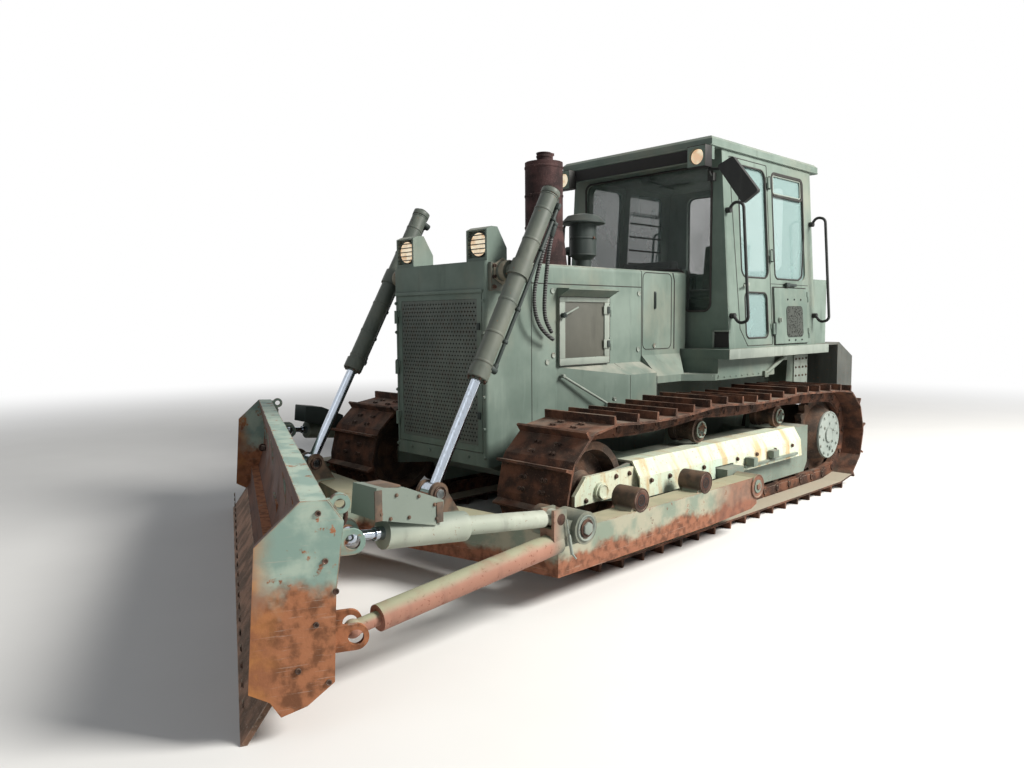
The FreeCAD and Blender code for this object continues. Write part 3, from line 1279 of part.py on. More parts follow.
def strut(side, socket_y):
    """Bracket, lower tube and its front eye on one side of the machine."""
    front = blade_point(side * STRUT_LUG_X, LUG_BACK, LOW_LUG_Z)
    hub = V(side * HUB_X, socket_y, SOCKET_Z)
    knee = V(side * HUB_X, socket_y - 130, SOCKET_Z - 60)
    run = front - knee
    run.normalize()
    tube = tube_between(knee, front - run * 115, TUBE_RADIUS)
    neck = tube_between(front - run * 130, front, 30)
    eye = Part.makeSphere(38, front)
    lo, hi = sorted((side * (ARM_OUT + 6), side * (HUB_X + 75)))
    ring_part = round_x(lo, hi, socket_y, SOCKET_Z, 82)
    lo, hi = sorted((side * (ARM_IN - 8), side * (ARM_OUT + 20)))
    pin = round_x(lo, hi, socket_y, SOCKET_Z, SOCKET_BORE - RUNNING_FIT)
    half = LINK_EYE_HALF + SEAT_GAP + 18
    web = Part.makeBox(2 * half, 200, 120, V(side * HUB_X - half, socket_y - 200, SOCKET_Z - 75))
    cheeks = Part.makeBox(2 * half, 90, 130, V(side * HUB_X - half, socket_y - 200, LINK_REAR_Z - 80))
    body = joined(ring_part, pin, web, cheeks, tube, neck, eye)
    x0, x1 = side * HUB_X - LINK_EYE_HALF - SEAT_GAP, side * HUB_X + LINK_EYE_HALF + SEAT_GAP
    slot = block(x0, x1, socket_y - 300, socket_y - 150 + LINK_RADIUS + 3, LINK_REAR_Z - LINK_RADIUS - 3, LINK_REAR_Z + 60)
    bolt = round_x(x0 - 12, x1 + 12, socket_y - 150, LINK_REAR_Z, LINK_PIN)
    return joined(less(body, slot), bolt)


COVER_X = (1362.0, 1530.0)
COVER_SIDE = [
    (-1545.0, 708.0), (-1532.0, 832.0), (-1390.0, 812.0), (-1200.0, 731.0), (-1203.0, 686.0), (-1239.0, 630.0),
]


def tilt_cylinder(side, socket_y):
    """Upper strut: rear tube and cylinder barrel, the left one under a folded cover."""
    rear = V(side * HUB_X, socket_y - 150, LINK_REAR_Z)
    front = blade_point(side * LINK_LUG_X, LUG_BACK, HIGH_LUG_Z)
    run = front - rear
    total = run.Length
    run.normalize()
    eye = round_x(side * HUB_X - LINK_EYE_HALF, side * HUB_X + LINK_EYE_HALF, rear.y, rear.z, LINK_RADIUS)
    neck = tube_between(rear + run * 20, rear + run * 100, 22)
    tube = tube_between(rear + run * 80, rear + run * (total - 500), LINK_RADIUS)
    barrel = tube_between(rear + run * (total - 560), rear + run * (total - 150), 66)
    bore = tube_between(rear + run * (total - 500), rear + run * (total - 149), 28 + RUNNING_FIT)
    hole = round_x(side * HUB_X - 60, side * HUB_X + 60, rear.y, rear.z, LINK_PIN + RUNNING_FIT)
    parts = [eye, neck, tube, barrel]
    if side > 0:
        parts.append(along_x(COVER_SIDE, *COVER_X))
    return less(joined(*parts), bore, hole)


def tilt_rod(side, socket_y):
    rear = V(side * HUB_X, socket_y - 150, LINK_REAR_Z)
    front = blade_point(side * LINK_LUG_X, LUG_BACK, HIGH_LUG_Z)
    run = front - rear
    total = run.Length
    run.normalize()
    rod = tube_between(rear + run * (total - 440), front - run * 110, 28)
    neck = tube_between(front - run * 125, front, 20)
    return joined(rod, neck, Part.makeSphere(38, front))


for side, name, index in ((1, "left", 0), (-1, "right", 2)):
    keep("strut_" + name, strut(side, SOCKET_YS[index]))
    keep("tilt_cylinder_" + name, tilt_cylinder(side, SOCKET_YS[index]))
    keep("tilt_rod_" + name, tilt_rod(side, SOCKET_YS[index]))


# Lift cylinders
TRUNNION = V(LIFT_X, TRUNNION_Y, TRUNNION_Z)
ROD_EYE = V(LIFT_X, ROD_EYE_Y, ROD_EYE_Z)
LIFT_RUN = (ROD_EYE - TRUNNION).normalize()


def lift_barrel():
    top = TRUNNION - LIFT_RUN * BARREL_ABOVE
    low = TRUNNION + LIFT_RUN * BARREL_BELOW
    body = tube_between(top, low, BARREL_RADIUS)
    collar = tube_between(TRUNNION - LIFT_RUN * 50, TRUNNION + LIFT_RUN * 50, BARREL_RADIUS + 10)
    gland = tube_between(low - LIFT_RUN * 70, low, BARREL_RADIUS + 8)
    pin = round_x(HOOD_HALF + 20, LIFT_X, TRUNNION_Y, TRUNNION_Z, TRUNNION_RADIUS - RUNNING_FIT)
    body = joined(body, collar, gland, pin)
    bore = tube_between(top + LIFT_RUN * 25, low - LIFT_RUN * 60, BARREL_BORE)
    mouth = tube_between(low - LIFT_RUN * 61, low + LIFT_RUN, ROD_RADIUS + RUNNING_FIT)
    return less(body, bore, mouth)


def lift_rod():
    tail = ROD_EYE - LIFT_RUN * ROD_LENGTH
    rod = tube_between(tail + LIFT_RUN * 20, ROD_EYE - LIFT_RUN * 40, ROD_RADIUS)
    piston = tube_between(tail, tail + LIFT_RUN * 60, BARREL_BORE - RUNNING_FIT)
    inner, outer = LIFT_X - EYE_HALF, LIFT_X + EYE_HALF
    eye = turned_x(
        [(inner - 40, 0), (inner - 40, EYE_PIN), (inner, EYE_PIN), (inner, EYE_RADIUS),
         (outer, EYE_RADIUS), (outer, EYE_PIN), (outer + 40, EYE_PIN), (outer + 40, 0)],
        ROD_EYE_Y, ROD_EYE_Z,
    )
    return joined(joined(rod, piston), eye)


def lift_yoke():
    inner = HOOD_HALF + SEAT_GAP
    plate = block(inner, inner + 25, TRUNNION_Y - 90, TRUNNION_Y + 130, TRUNNION_Z - 120, TRUNNION_Z + 55)
    boss = round_x(inner, LIFT_X - BARREL_RADIUS - 26, TRUNNION_Y, TRUNNION_Z, 62)
    bore = round_x(HOOD_HALF + 18, LIFT_X, TRUNNION_Y, TRUNNION_Z, TRUNNION_RADIUS)
    return less(joined(plate, boss), bore)


for name, shape_of in (("lift_barrel", lift_barrel), ("lift_rod", lift_rod)):
    keep(name + "_left", shape_of())
    keep(name + "_right", mirrored(shape_of()))
keep("lift_yokes", *pair(lift_yoke()))


# Two hydraulic hoses that hang behind the left barrel and swing with it
HOSE_RADIUS = 13.0
ARC_SHARE = 0.45
FRONT_HOSE = [
    V(650, 452, 2232), V(640, 433, 2130), V(625, 375, 1960), V(600, 335, 1790), V(575, 318, 1640),
    V(565, 345, 1500), V(555, 425, 1400), V(540, 535, 1350),
]
REAR_HOSE = [
    V(620, 468, 2075), V(610, 440, 1985), V(590, 432, 1850), V(566, 436, 1700), V(550, 440, 1560),
    V(542, 464, 1460), V(530, 532, 1398),
]


def hose(name, route):
    """A round tube along straight runs joined by arcs as large as the runs allow."""
    edges, start, radii = [], route[0], []
    for before, at, after in zip(route, route[1:], route[2:]):
        back, on = (before - at).normalize(), (after - at).normalize()
        corner = ARC_SHARE * min((before - at).Length, (after - at).Length)
        first, last = at + back * corner, at + on * corner
        half = back.getAngle(on) / 2
        radius = corner * math.tan(half)
        between = (back + on).normalize()
        middle = at + between * (corner / math.cos(half) - radius)
        edges.append(Part.LineSegment(start, first).toShape())
        edges.append(Part.Arc(first, middle, last).toShape())
        radii.append(round(radius))
        start = last
    edges.append(Part.LineSegment(start, route[-1]).toShape())
    path = Part.Wire(edges)
    mouth = Part.Wire(Part.makeCircle(HOSE_RADIUS, route[0], route[1] - route[0]))
    tube = path.makePipeShell([mouth], True, True)
    share = tube.Volume / (math.pi * HOSE_RADIUS ** 2 * path.Length)
    print(name, "radii", radii, "length", round(path.Length, 1), "volume share", round(share, 4))
    return tube


keep("hose_front_left", hose("front hose", FRONT_HOSE))
keep("hose_rear_left", hose("rear hose", REAR_HOSE))


# Whole machine's box, for the origin
def move_to_origin():
    everything = Part.makeCompound([s for shapes in NODES.values() for s in shapes])
    box = everything.BoundBox
    return V(-(box.XMin + box.XMax) / 2, -(box.YMin + box.YMax) / 2, 0)


SHIFT = move_to_origin()
print("origin shift", SHIFT)
os.makedirs("parts", exist_ok=True)
for name, shapes in NODES.items():
    solids = [s.translated(SHIFT) for s in shapes]
    whole = solids[0] if len(solids) == 1 else Part.makeCompound(solids)
    bad = [s for s in whole.Solids if not s.isValid()]
    print(name, len(whole.Solids), round(whole.Volume / 1e9, 4), "INVALID" if bad else "")
    whole.exportStep("parts/" + name + ".step")
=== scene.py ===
import bmesh
import bpy
import math
import random
from mathutils import Matrix, Vector


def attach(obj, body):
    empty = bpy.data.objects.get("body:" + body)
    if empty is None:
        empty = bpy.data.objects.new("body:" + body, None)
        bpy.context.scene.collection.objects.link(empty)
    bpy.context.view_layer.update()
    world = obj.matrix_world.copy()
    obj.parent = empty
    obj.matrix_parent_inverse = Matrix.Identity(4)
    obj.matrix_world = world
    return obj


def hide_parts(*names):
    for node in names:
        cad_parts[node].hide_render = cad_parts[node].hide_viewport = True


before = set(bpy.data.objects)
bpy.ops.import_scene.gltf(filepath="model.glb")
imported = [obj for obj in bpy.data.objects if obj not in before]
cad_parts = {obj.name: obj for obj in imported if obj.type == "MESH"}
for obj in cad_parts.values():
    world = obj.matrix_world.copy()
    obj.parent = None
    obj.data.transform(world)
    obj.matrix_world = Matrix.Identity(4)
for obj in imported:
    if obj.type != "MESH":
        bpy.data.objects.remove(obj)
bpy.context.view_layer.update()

# The place. The machine's own centre plane and the front face of its radiator guard lie at this
# point of the frame, and sizes on the machine are in millimetres from there. The camera stands
# ahead of the machine's left front corner, at the height of the hood's top.
NOSE = Vector((126.698, -1269.981, 0.0))


def at(x, y, z):
    return (Vector((x, y, z)) + NOSE) / 1000


camera = bpy.data.objects.new("camera", bpy.data.cameras.new("camera"))
bpy.context.scene.collection.objects.link(camera)
camera.data.sensor_width = 36.0
camera.data.lens = 27.37
camera.data.clip_end = 200.0
yaw, pitch, roll = math.radians(-46.03), math.radians(-4.689), math.radians(-0.412)
sight = Vector((math.sin(yaw) * math.cos(pitch), math.cos(yaw) * math.cos(pitch), math.sin(pitch)))
camera.location = at(4041, -3220, 1479)
camera.rotation_mode = "QUATERNION"
camera.rotation_quaternion = sight.to_track_quat("-Z", "Y") @ Matrix.Rotation(roll, 3, "Z").to_quaternion()
bpy.context.scene.camera = camera


# Studio. A pale floor, a white surround that only the camera, gloss and glass see, an even
# ambient light, one large soft lamp on the machine's left and a weak one over its nose.
class Tone:
    """A value, vector or colour of a finish, which takes part in Python's sums."""

    def __init__(self, finish, socket):
        self.finish, self.socket = finish, socket

    def sum_with(self, operation, first, second):
        return self.finish.node("Math", {0: first, 1: second}, operation=operation)

    def __add__(self, other):
        return self.sum_with("ADD", self, other)

    def __sub__(self, other):
        return self.sum_with("SUBTRACT", self, other)

    def __rsub__(self, other):
        return self.sum_with("SUBTRACT", other, self)

    def __mul__(self, other):
        return self.sum_with("MULTIPLY", self, other)

    __radd__ = __add__
    __rmul__ = __mul__


class Finish:
    """A surface finish. Constants are set on its shader, and its nodes are made one by one."""

    def __init__(self, name, **constants):
        self.material = bpy.data.materials.new(name)
        self.material.use_nodes = True
        self.tree = self.material.node_tree
        self.shader = self.tree.nodes["Principled BSDF"]
        for socket, value in constants.items():
            self.shader.inputs[socket.replace("_", " ").title().replace("Ior", "IOR")].default_value = value
        self.place = self.node("TexCoord", out="Object")

    def node(self, kind, sockets=None, out=0, stops=None, **settings):
        made = self.tree.nodes.new("ShaderNode" + kind)
        for name, value in settings.items():
            setattr(made, name, value)
        if stops:
            ramp = made.color_ramp.elements
            while len(ramp) < len(stops):
                ramp.new(0.5)
            for mark, (position, colour) in zip(ramp, stops):
                mark.position, mark.color = position, (*colour, 1.0)
        for key, value in (sockets or {}).items():
            if isinstance(value, Tone):
                self.tree.links.new(value.socket, made.inputs[key])
            else:
                made.inputs[key].default_value = value
        return Tone(self, made.outputs[out])

    def feed(self, **tones):
        for socket, tone in tones.items():
            self.tree.links.new(tone.socket, self.shader.inputs[socket.replace("_", " ").title()])

    def cloud(self, scale, detail=3.0, stretch=(1, 1, 1), rough=0.55, shift=0.0):
        """Soft noise from 0 to 1, stretched along the axes."""
        where = self.place
        if stretch != (1, 1, 1) or shift:
            where = self.node("Mapping", {"Vector": where, "Scale": stretch, "Location": (shift, shift, shift)})
        return self.node("TexNoise", {"Vector": where, "Scale": scale, "Detail": detail, "Roughness": rough})

    def between(self, tone, low, high):
        """0 below low, 1 above high, and smooth in between."""
        sockets = {"Value": tone, "From Min": low, "From Max": high}
        return self.node("MapRange", sockets, interpolation_type="SMOOTHSTEP")

    def blend(self, first, second, share):
        first = first if isinstance(first, Tone) else (*first, 1.0)
        second = second if isinstance(second, Tone) else (*second, 1.0)
        return self.node("Mix", {0: share, 6: first, 7: second}, out=2, data_type="RGBA")

    def facing_up(self, low=0.6, high=0.95):
        parts = self.node("SeparateXYZ", {0: self.node("NewGeometry", out="Normal")}, out=2)
        return self.between(parts, low, high)

    def height(self, low, high):
        """1 at the low height and 0 at the high one, in metres above the ground."""
        return 1 - self.between(self.node("SeparateXYZ", {0: self.place}, out=2), low, high)

    def rim(self, reach=0.006, low=0.02, high=0.25):
        """1 along the edges of a piece, broken up by noise."""
        rounded = self.node("Bevel", {"Radius": reach}, samples=4)
        plain = self.node("NewGeometry", out="Normal")
        alike = self.node("VectorMath", {0: rounded, 1: plain}, out="Value", operation="DOT_PRODUCT")
        return self.between(1 - alike, low, high)

    def relief(self, height, depth, strength=1.0):
        return self.node("Bump", {"Height": height, "Distance": depth, "Strength": strength})


def bare_floor():
    finish = Finish("studio_floor", roughness=0.9)
    tone = finish.blend((0.70, 0.70, 0.69), (0.76, 0.76, 0.75), finish.cloud(1.3))
    finish.feed(base_color=tone)
    far = finish.between(finish.node("VectorMath", {0: finish.place}, out="Value", operation="LENGTH"), 6.0, 15.0)
    white = finish.node("Emission", {"Color": (1.0, 1.0, 1.0, 1.0), "Strength": 1.0})
    seen_floor = finish.node("LightPath", out="Is Camera Ray") * far
    mixed = finish.node("MixShader", {0: seen_floor, 1: Tone(finish, finish.shader.outputs[0]), 2: white})
    finish.tree.links.new(mixed.socket, finish.tree.nodes["Material Output"].inputs["Surface"])
    return finish.material


bpy.ops.object.select_all(action="DESELECT")
bpy.ops.mesh.primitive_plane_add(size=90, location=(0, 0, -0.001))
floor = bpy.context.object
floor.name = "floor"
floor.data.materials.append(bare_floor())

world = bpy.data.worlds.new("studio")
bpy.context.scene.world = world
world.use_nodes = True
sky = world.node_tree
sky.nodes.clear()
rays = sky.nodes.new("ShaderNodeLightPath")
seen = sky.nodes.new("ShaderNodeMath")
seen.operation = "MAXIMUM"
sky.links.new(rays.outputs["Is Camera Ray"], seen.inputs[0])
sky.links.new(rays.outputs["Is Glossy Ray"], seen.inputs[1])
also = sky.nodes.new("ShaderNodeMath")
also.operation = "MAXIMUM"
sky.links.new(seen.outputs[0], also.inputs[0])
sky.links.new(rays.outputs["Is Transmission Ray"], also.inputs[1])
ambient = sky.nodes.new("ShaderNodeBackground")
ambient.inputs["Color"].default_value = (0.93, 0.96, 1.0, 1.0)
ambient.inputs["Strength"].default_value = 0.23
surround = sky.nodes.new("ShaderNodeBackground")
surround.inputs["Color"].default_value = (1.0, 1.0, 1.0, 1.0)
surround.inputs["Strength"].default_value = 1.0
choice = sky.nodes.new("ShaderNodeMixShader")
sky.links.new(also.outputs[0], choice.inputs[0])
sky.links.new(ambient.outputs[0], choice.inputs[1])
sky.links.new(surround.outputs[0], choice.inputs[2])
sky.links.new(choice.outputs[0], sky.nodes.new("ShaderNodeOutputWorld").inputs[0])

LAMPS = (
    # name, place, size, watts, colour
    ("left_lamp", (9500, 5200, 8500), 4.0, 3050.0, (1.0, 0.97, 0.92)),
    ("nose_lamp", (1500, -8000, 6500), 6.0, 70.0, (0.95, 0.98, 1.0)),
)
for name, place, size, watts, colour in LAMPS:
    lamp = bpy.data.lights.new(name, "AREA")
    lamp.size, lamp.energy, lamp.color = size, watts, colour
    holder = bpy.data.objects.new(name, lamp)
    bpy.context.scene.collection.objects.link(holder)
    holder.location = at(*place)
    holder.rotation_euler = (at(0, 1500, 900) - holder.location).to_track_quat("-Z", "Y").to_euler()
bpy.context.scene.view_settings.view_transform = "Standard"


# Hoses. Two rubber hydraulic hoses in a spiral guard, which hang behind the left lift cylinder from
# its top end and turn in to the hood's side, and swing with the cylinder.
def ribbed_rubber():
    finish = Finish("ribbed_rubber", roughness=0.62)
    turns = finish.node("TexWave", {"Vector": finish.place, "Scale": 20.0}, out=1, bands_direction="Z")
    # The pale bands along the spiral guard's turns are painted glints on the black rubber.
    painted_glints = finish.between(turns, 0.66, 0.92)
    finish.feed(base_color=finish.blend((0.012, 0.013, 0.013), (0.13, 0.135, 0.13), painted_glints * 0.75))
    finish.feed(normal=finish.relief(turns, 0.003, 0.9))
    return finish


FRONT_HOSE = (
    (650, 452, 2232), (640, 433, 2130), (625, 375, 1960), (600, 335, 1790), (575, 318, 1640), (565, 345, 1500),
    (555, 425, 1400), (540, 535, 1350),
)
REAR_HOSE = (
    (620, 468, 2075), (610, 440, 1985), (590, 432, 1850), (566, 436, 1700), (550, 440, 1560), (542, 464, 1460),
    (530, 532, 1398),
)


def spline_through(name, route, radius, closed=False, kind="NURBS"):
    """A round tube whose line is guided by the route's points."""
    line = bpy.data.curves.new(name, "CURVE")
    line.dimensions = "3D"
    line.bevel_depth = radius / 1000
    line.bevel_resolution = 4
    line.resolution_u = 10
    line.use_fill_caps = True
    spline = line.splines.new(kind)
    spline.points.add(len(route) - 1)
    for point, place in zip(spline.points, route):
        point.co = (*at(*place), 1.0)
    if kind == "NURBS":
        spline.order_u = 3
        spline.use_endpoint_u = not closed
    spline.use_cyclic_u = closed
    piece = bpy.data.objects.new(name, line)
    bpy.context.scene.collection.objects.link(piece)
    return piece


hose_rubber = ribbed_rubber()
for name, node, route, length in (
    ("front_hose", "hose_front_left", FRONT_HOSE, 0.985), ("rear_hose", "hose_rear_left", REAR_HOSE, 0.705),
):
    hose = spline_through(name, route, 13.0)
    hose.data.materials.append(hose_rubber.material)
    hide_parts(node)
    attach(hose, "lift_barrel_left")


# Tracks. Cast and rolled steel shoes bolted to a chain of links, all brown with rust and
# polished by the ground along the tips of their lugs.
def coat(node, finish):
    """Gives a carried-over node its finish."""
    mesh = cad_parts[node].data
    mesh.materials.clear()
    mesh.materials.append(finish.material)


def rusty_steel(name, dark, warm, pale, metal=0.35):
    finish = Finish(name, metallic=metal, specular_ior_level=0.25)
    patches = finish.between(finish.cloud(9.0, 5.0), 0.38, 0.66)
    grit = finish.cloud(120.0, 2.0)
    tone = finish.blend(dark, warm, patches)
    tone = finish.blend(tone, pale, finish.between(grit, 0.56, 0.8) * 0.55)
    worn = finish.rim(0.008) * finish.between(finish.cloud(14.0, shift=3.0), 0.35, 0.6)
    tone = finish.blend(tone, pale, worn * 0.6)
    dust = finish.facing_up() * finish.between(finish.cloud(5.0, 4.0, shift=1.0), 0.35, 0.7)
    tone = finish.blend(tone, (0.30, 0.25, 0.20), dust * 0.45)
    tone = finish.blend(tone, (0.46, 0.42, 0.33), finish.facing_up(0.7, 0.95) * finish.height(0.10, 0.16) * 0.8)
    finish.feed(base_color=tone, roughness=0.88 - worn * 0.35 - patches * 0.08)
    finish.feed(normal=finish.relief(grit + finish.cloud(40.0, 4.0) * 2.0, 0.0012, 0.8))
    return finish


track_rust = rusty_steel("track_rust", (0.045, 0.026, 0.020), (0.150, 0.066, 0.040), (0.26, 0.17, 0.125))
for side in ("left", "right"):
    coat("track_" + side, track_rust)


# Track fittings. Four square bolt heads hold each shoe to its pair of links; the links are forged
# ovals, one beside each rail, joined by pins whose ends show at the side.
def dress(piece, finish, body="machine", angle=35):
    """Shades a finished piece, gives it its finish and lets it ride on a body."""
    piece.data.materials.clear()
    piece.data.materials.append(finish.material)
    bpy.ops.object.select_all(action="DESELECT")
    piece.select_set(True)
    bpy.context.view_layer.objects.active = piece
    bpy.ops.object.shade_smooth_by_angle(angle=math.radians(angle))
    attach(piece, body)
    return piece


def plate(name, low, high, edge=2.0):
    """A steel block between two corners, with its edges rounded."""
    bpy.ops.object.select_all(action="DESELECT")
    low, high = at(*low), at(*high)
    bpy.ops.mesh.primitive_cube_add(size=1, location=(low + high) / 2)
    piece = bpy.context.object
    piece.name = name
    piece.scale = high - low
    bpy.ops.object.transform_apply(location=True, rotation=True, scale=True)
    bpy.ops.object.mode_set(mode="EDIT")
    bpy.ops.mesh.select_all(action="SELECT")
    bpy.ops.mesh.bevel(offset=edge / 1000, segments=2, affect="EDGES")
    bpy.ops.object.mode_set(mode="OBJECT")
    return piece


def round_bar(name, start, end, radius, edge=2.0, sides=24, dish=0.0):
    """A turned bar between two points, its rims rounded and its ends dished if asked."""
    bpy.ops.object.select_all(action="DESELECT")
    start, end = at(*start), at(*end)
    run = end - start
    turn = run.to_track_quat("Z", "Y").to_euler()
    place = (start + end) / 2
    bpy.ops.mesh.primitive_cylinder_add(vertices=sides, radius=radius / 1000, depth=run.length, location=place, rotation=turn)
    piece = bpy.context.object
    piece.name = name
    bpy.ops.object.transform_apply(location=True, rotation=True, scale=True)
    bpy.ops.object.mode_set(mode="EDIT")
    bpy.ops.mesh.select_mode(type="FACE")
    ring = bmesh.from_edit_mesh(piece.data)
    for face in ring.faces:
        face.select_set(len(face.verts) > 4)
    bmesh.update_edit_mesh(piece.data)
    if dish:
        bpy.ops.mesh.inset(thickness=abs(dish) * 1.2 / 1000, depth=0.0)
        bpy.ops.mesh.inset(thickness=abs(dish) * 0.6 / 1000, depth=-dish / 1000)
    bpy.ops.mesh.select_mode(type="EDGE")
    bpy.ops.mesh.select_all(action="DESELECT")
    bpy.ops.mesh.edges_select_sharp(sharpness=math.radians(50))
    bpy.ops.mesh.bevel(offset=edge / 1000, segments=2, affect="EDGES")
    bpy.ops.object.mode_set(mode="OBJECT")
    return piece


def joined(name, pieces):
    """Makes one piece of several."""
    bpy.ops.object.select_all(action="DESELECT")
    for piece in pieces:
        piece.select_set(True)
    bpy.context.view_layer.objects.active = pieces[0]
    bpy.ops.object.join()
    bpy.context.object.name = name
    return bpy.context.object


def spread(piece, places):
    """Puts a copy of a piece at each place, given as a transform in metres, and joins them."""
    name, copies = piece.name, []
    for place in places:
        copy = piece.copy()
        copy.data = piece.data.copy()
        copy.matrix_world = place
        bpy.context.scene.collection.objects.link(copy)
        copies.append(copy)
    bpy.data.objects.remove(piece)
    whole = joined(name, copies)
    bpy.ops.object.transform_apply(location=True, rotation=True, scale=True)
    return whole


def facing(spot, outward, across=(0, 0, 1)):
    """The place of a copy made at the frame's origin that looks up: it is turned to look outward."""
    up = Vector(outward).normalized()
    side = Vector(across).cross(up)
    if side.length < 0.01:
        side = Vector((1, 0, 0)).cross(up)
    side.normalize()
    turn = Matrix((side, up.cross(side), up)).transposed().to_4x4()
    return Matrix.Translation(at(*spot)) @ turn


def bolt_heads(name, spots, across=22.0, head=9.0, finish=None, body="machine"):
    """Hexagon heads on their washers, at spots given with the way they look."""
    origin = -NOSE
    washer = round_bar(name, origin, origin + Vector((0, 0, 3)), across * 0.62, 0.8, 16)
    hexagon = round_bar(name, origin + Vector((0, 0, 2)), origin + Vector((0, 0, 2 + head)), across / 2, 1.2, 6)
    bolt = joined(name, [washer, hexagon])
    whole = spread(bolt, [facing(spot, outward) for spot, outward in spots])
    return dress(whole, finish, body)


PIN_TO_TIP, LINK_COUNT = 111.0, 42
IDLER, DRIVE = (318.0, 463.0, 352.0), (3505.0, 455.0, 344.0)
CARRIERS = ((1500.0, 839.0), (2645.0, 831.0))


def span(start, end, sag, steps=16):
    shares = [i / steps for i in range(steps)]
    rise = end[1] - start[1]
    return [(start[0] + (end[0] - start[0]) * t, start[1] + rise * t - 4 * sag * t * (1 - t)) for t in shares]


def arc(wheel, start, end, steps=32):
    turns = [math.radians(start + (end - start) * i / steps) for i in range(steps)]
    return [(wheel[0] + wheel[2] * math.cos(a), wheel[1] + wheel[2] * math.sin(a)) for a in turns]


def chain_pins():
    """The track's pins in order, as (y, z), from the ground round the drive wheel and back."""
    over_drive, over_idler = (DRIVE[0], DRIVE[1] + DRIVE[2]), (IDLER[0], IDLER[1] + IDLER[2])
    line = span((IDLER[0], PIN_TO_TIP), (DRIVE[0], PIN_TO_TIP), 0.0) + arc(DRIVE, -90, 90)
    line += span(over_drive, CARRIERS[1], 2.0) + span(CARRIERS[1], CARRIERS[0], 28.0)
    line += span(CARRIERS[0], over_idler, 30.0) + arc(IDLER, 90, 270)
    line.append(line[0])
    lengths = [math.dist(a, b) for a, b in zip(line, line[1:])]
    pitch = sum(lengths) / LINK_COUNT
    pins, walked, i = [], 0.0, 0
    for n in range(LINK_COUNT):
        while walked + lengths[i] < (n + 0.35) * pitch:
            walked += lengths[i]
            i += 1
        t = ((n + 0.35) * pitch - walked) / lengths[i]
        pins.append((line[i][0] + (line[i + 1][0] - line[i][0]) * t, line[i][1] + (line[i + 1][1] - line[i][1]) * t))
    return pins


TRACK_X = 944.0
pins = chain_pins()
shoe_bolts, link_places, pin_places = [], [], []
for a, b in zip(pins, pins[1:] + pins[:1]):
    length = math.dist(a, b)
    u = ((b[0] - a[0]) / length, (b[1] - a[1]) / length)
    out = (u[1], -u[0])
    for along in (0.47, 0.82):
        y, z = (a[i] + u[i] * length * along + out[i] * 61.0 for i in (0, 1))
        shoe_bolts += [((TRACK_X + dx, y, z), (0, *out)) for dx in (-97, -68, 68, 97)]
    turn = Matrix(((-1, 0, 0), (0, u[0], out[0]), (0, u[1], out[1]))).to_4x4()
    for dx in (-108.0, 108.0):
        link_places.append(Matrix.Translation(at(TRACK_X + dx, *a)) @ turn)
        pin_places.append(facing((TRACK_X + dx, *a), (math.copysign(1, dx), 0, 0)))


def mirrored(piece, name):
    """The same piece on the machine's other side."""
    other = piece.copy()
    other.data = piece.data.copy()
    other.name = name
    bpy.context.scene.collection.objects.link(other)
    other.data.transform(Matrix.Translation((2 * NOSE.x / 1000, 0, 0)) @ Matrix.Scale(-1, 4, (1, 0, 0)))
    bpy.ops.object.select_all(action="DESELECT")
    other.select_set(True)
    bpy.context.view_layer.objects.active = other
    bpy.ops.object.mode_set(mode="EDIT")
    bpy.ops.mesh.select_all(action="SELECT")
    bpy.ops.mesh.normals_make_consistent(inside=False)
    bpy.ops.object.mode_set(mode="OBJECT")
    return other


def both_sides(piece, body="machine", bodies=None):
    """A copy of a dressed piece on the right, riding on its own body."""
    other = mirrored(piece, piece.name.replace("_left", "") + "_right")
    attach(other, bodies or body)
    return other


bolt_rust = rusty_steel("bolt_rust", (0.035, 0.022, 0.018), (0.10, 0.055, 0.04), (0.24, 0.17, 0.13), 0.5)
both_sides(bolt_heads("shoe_bolts_left", shoe_bolts, 24, 10, bolt_rust))
origin = -NOSE
pitch = math.dist(pins[0], pins[1])
cheek = round_bar("link_cheeks_left", origin + Vector((-5, 10, -4)), origin + Vector((5, 10, -4)), 40, 2, 14)
toe = round_bar("toe", origin + Vector((-5, pitch - 16, 4)), origin + Vector((5, pitch - 16, 4)), 34, 2, 14)
waist = plate("waist", origin + Vector((-4, 10, -28)), origin + Vector((4, pitch - 20, 44)), 2)
both_sides(dress(spread(joined("link_cheeks_left", [cheek, toe, waist]), link_places), track_rust))
pin_end = round_bar("pin_ends_left", origin, origin + Vector((0, 0, 11)), 21, 2.5, 14, 4.0)
both_sides(dress(spread(pin_end, pin_places), bolt_rust))


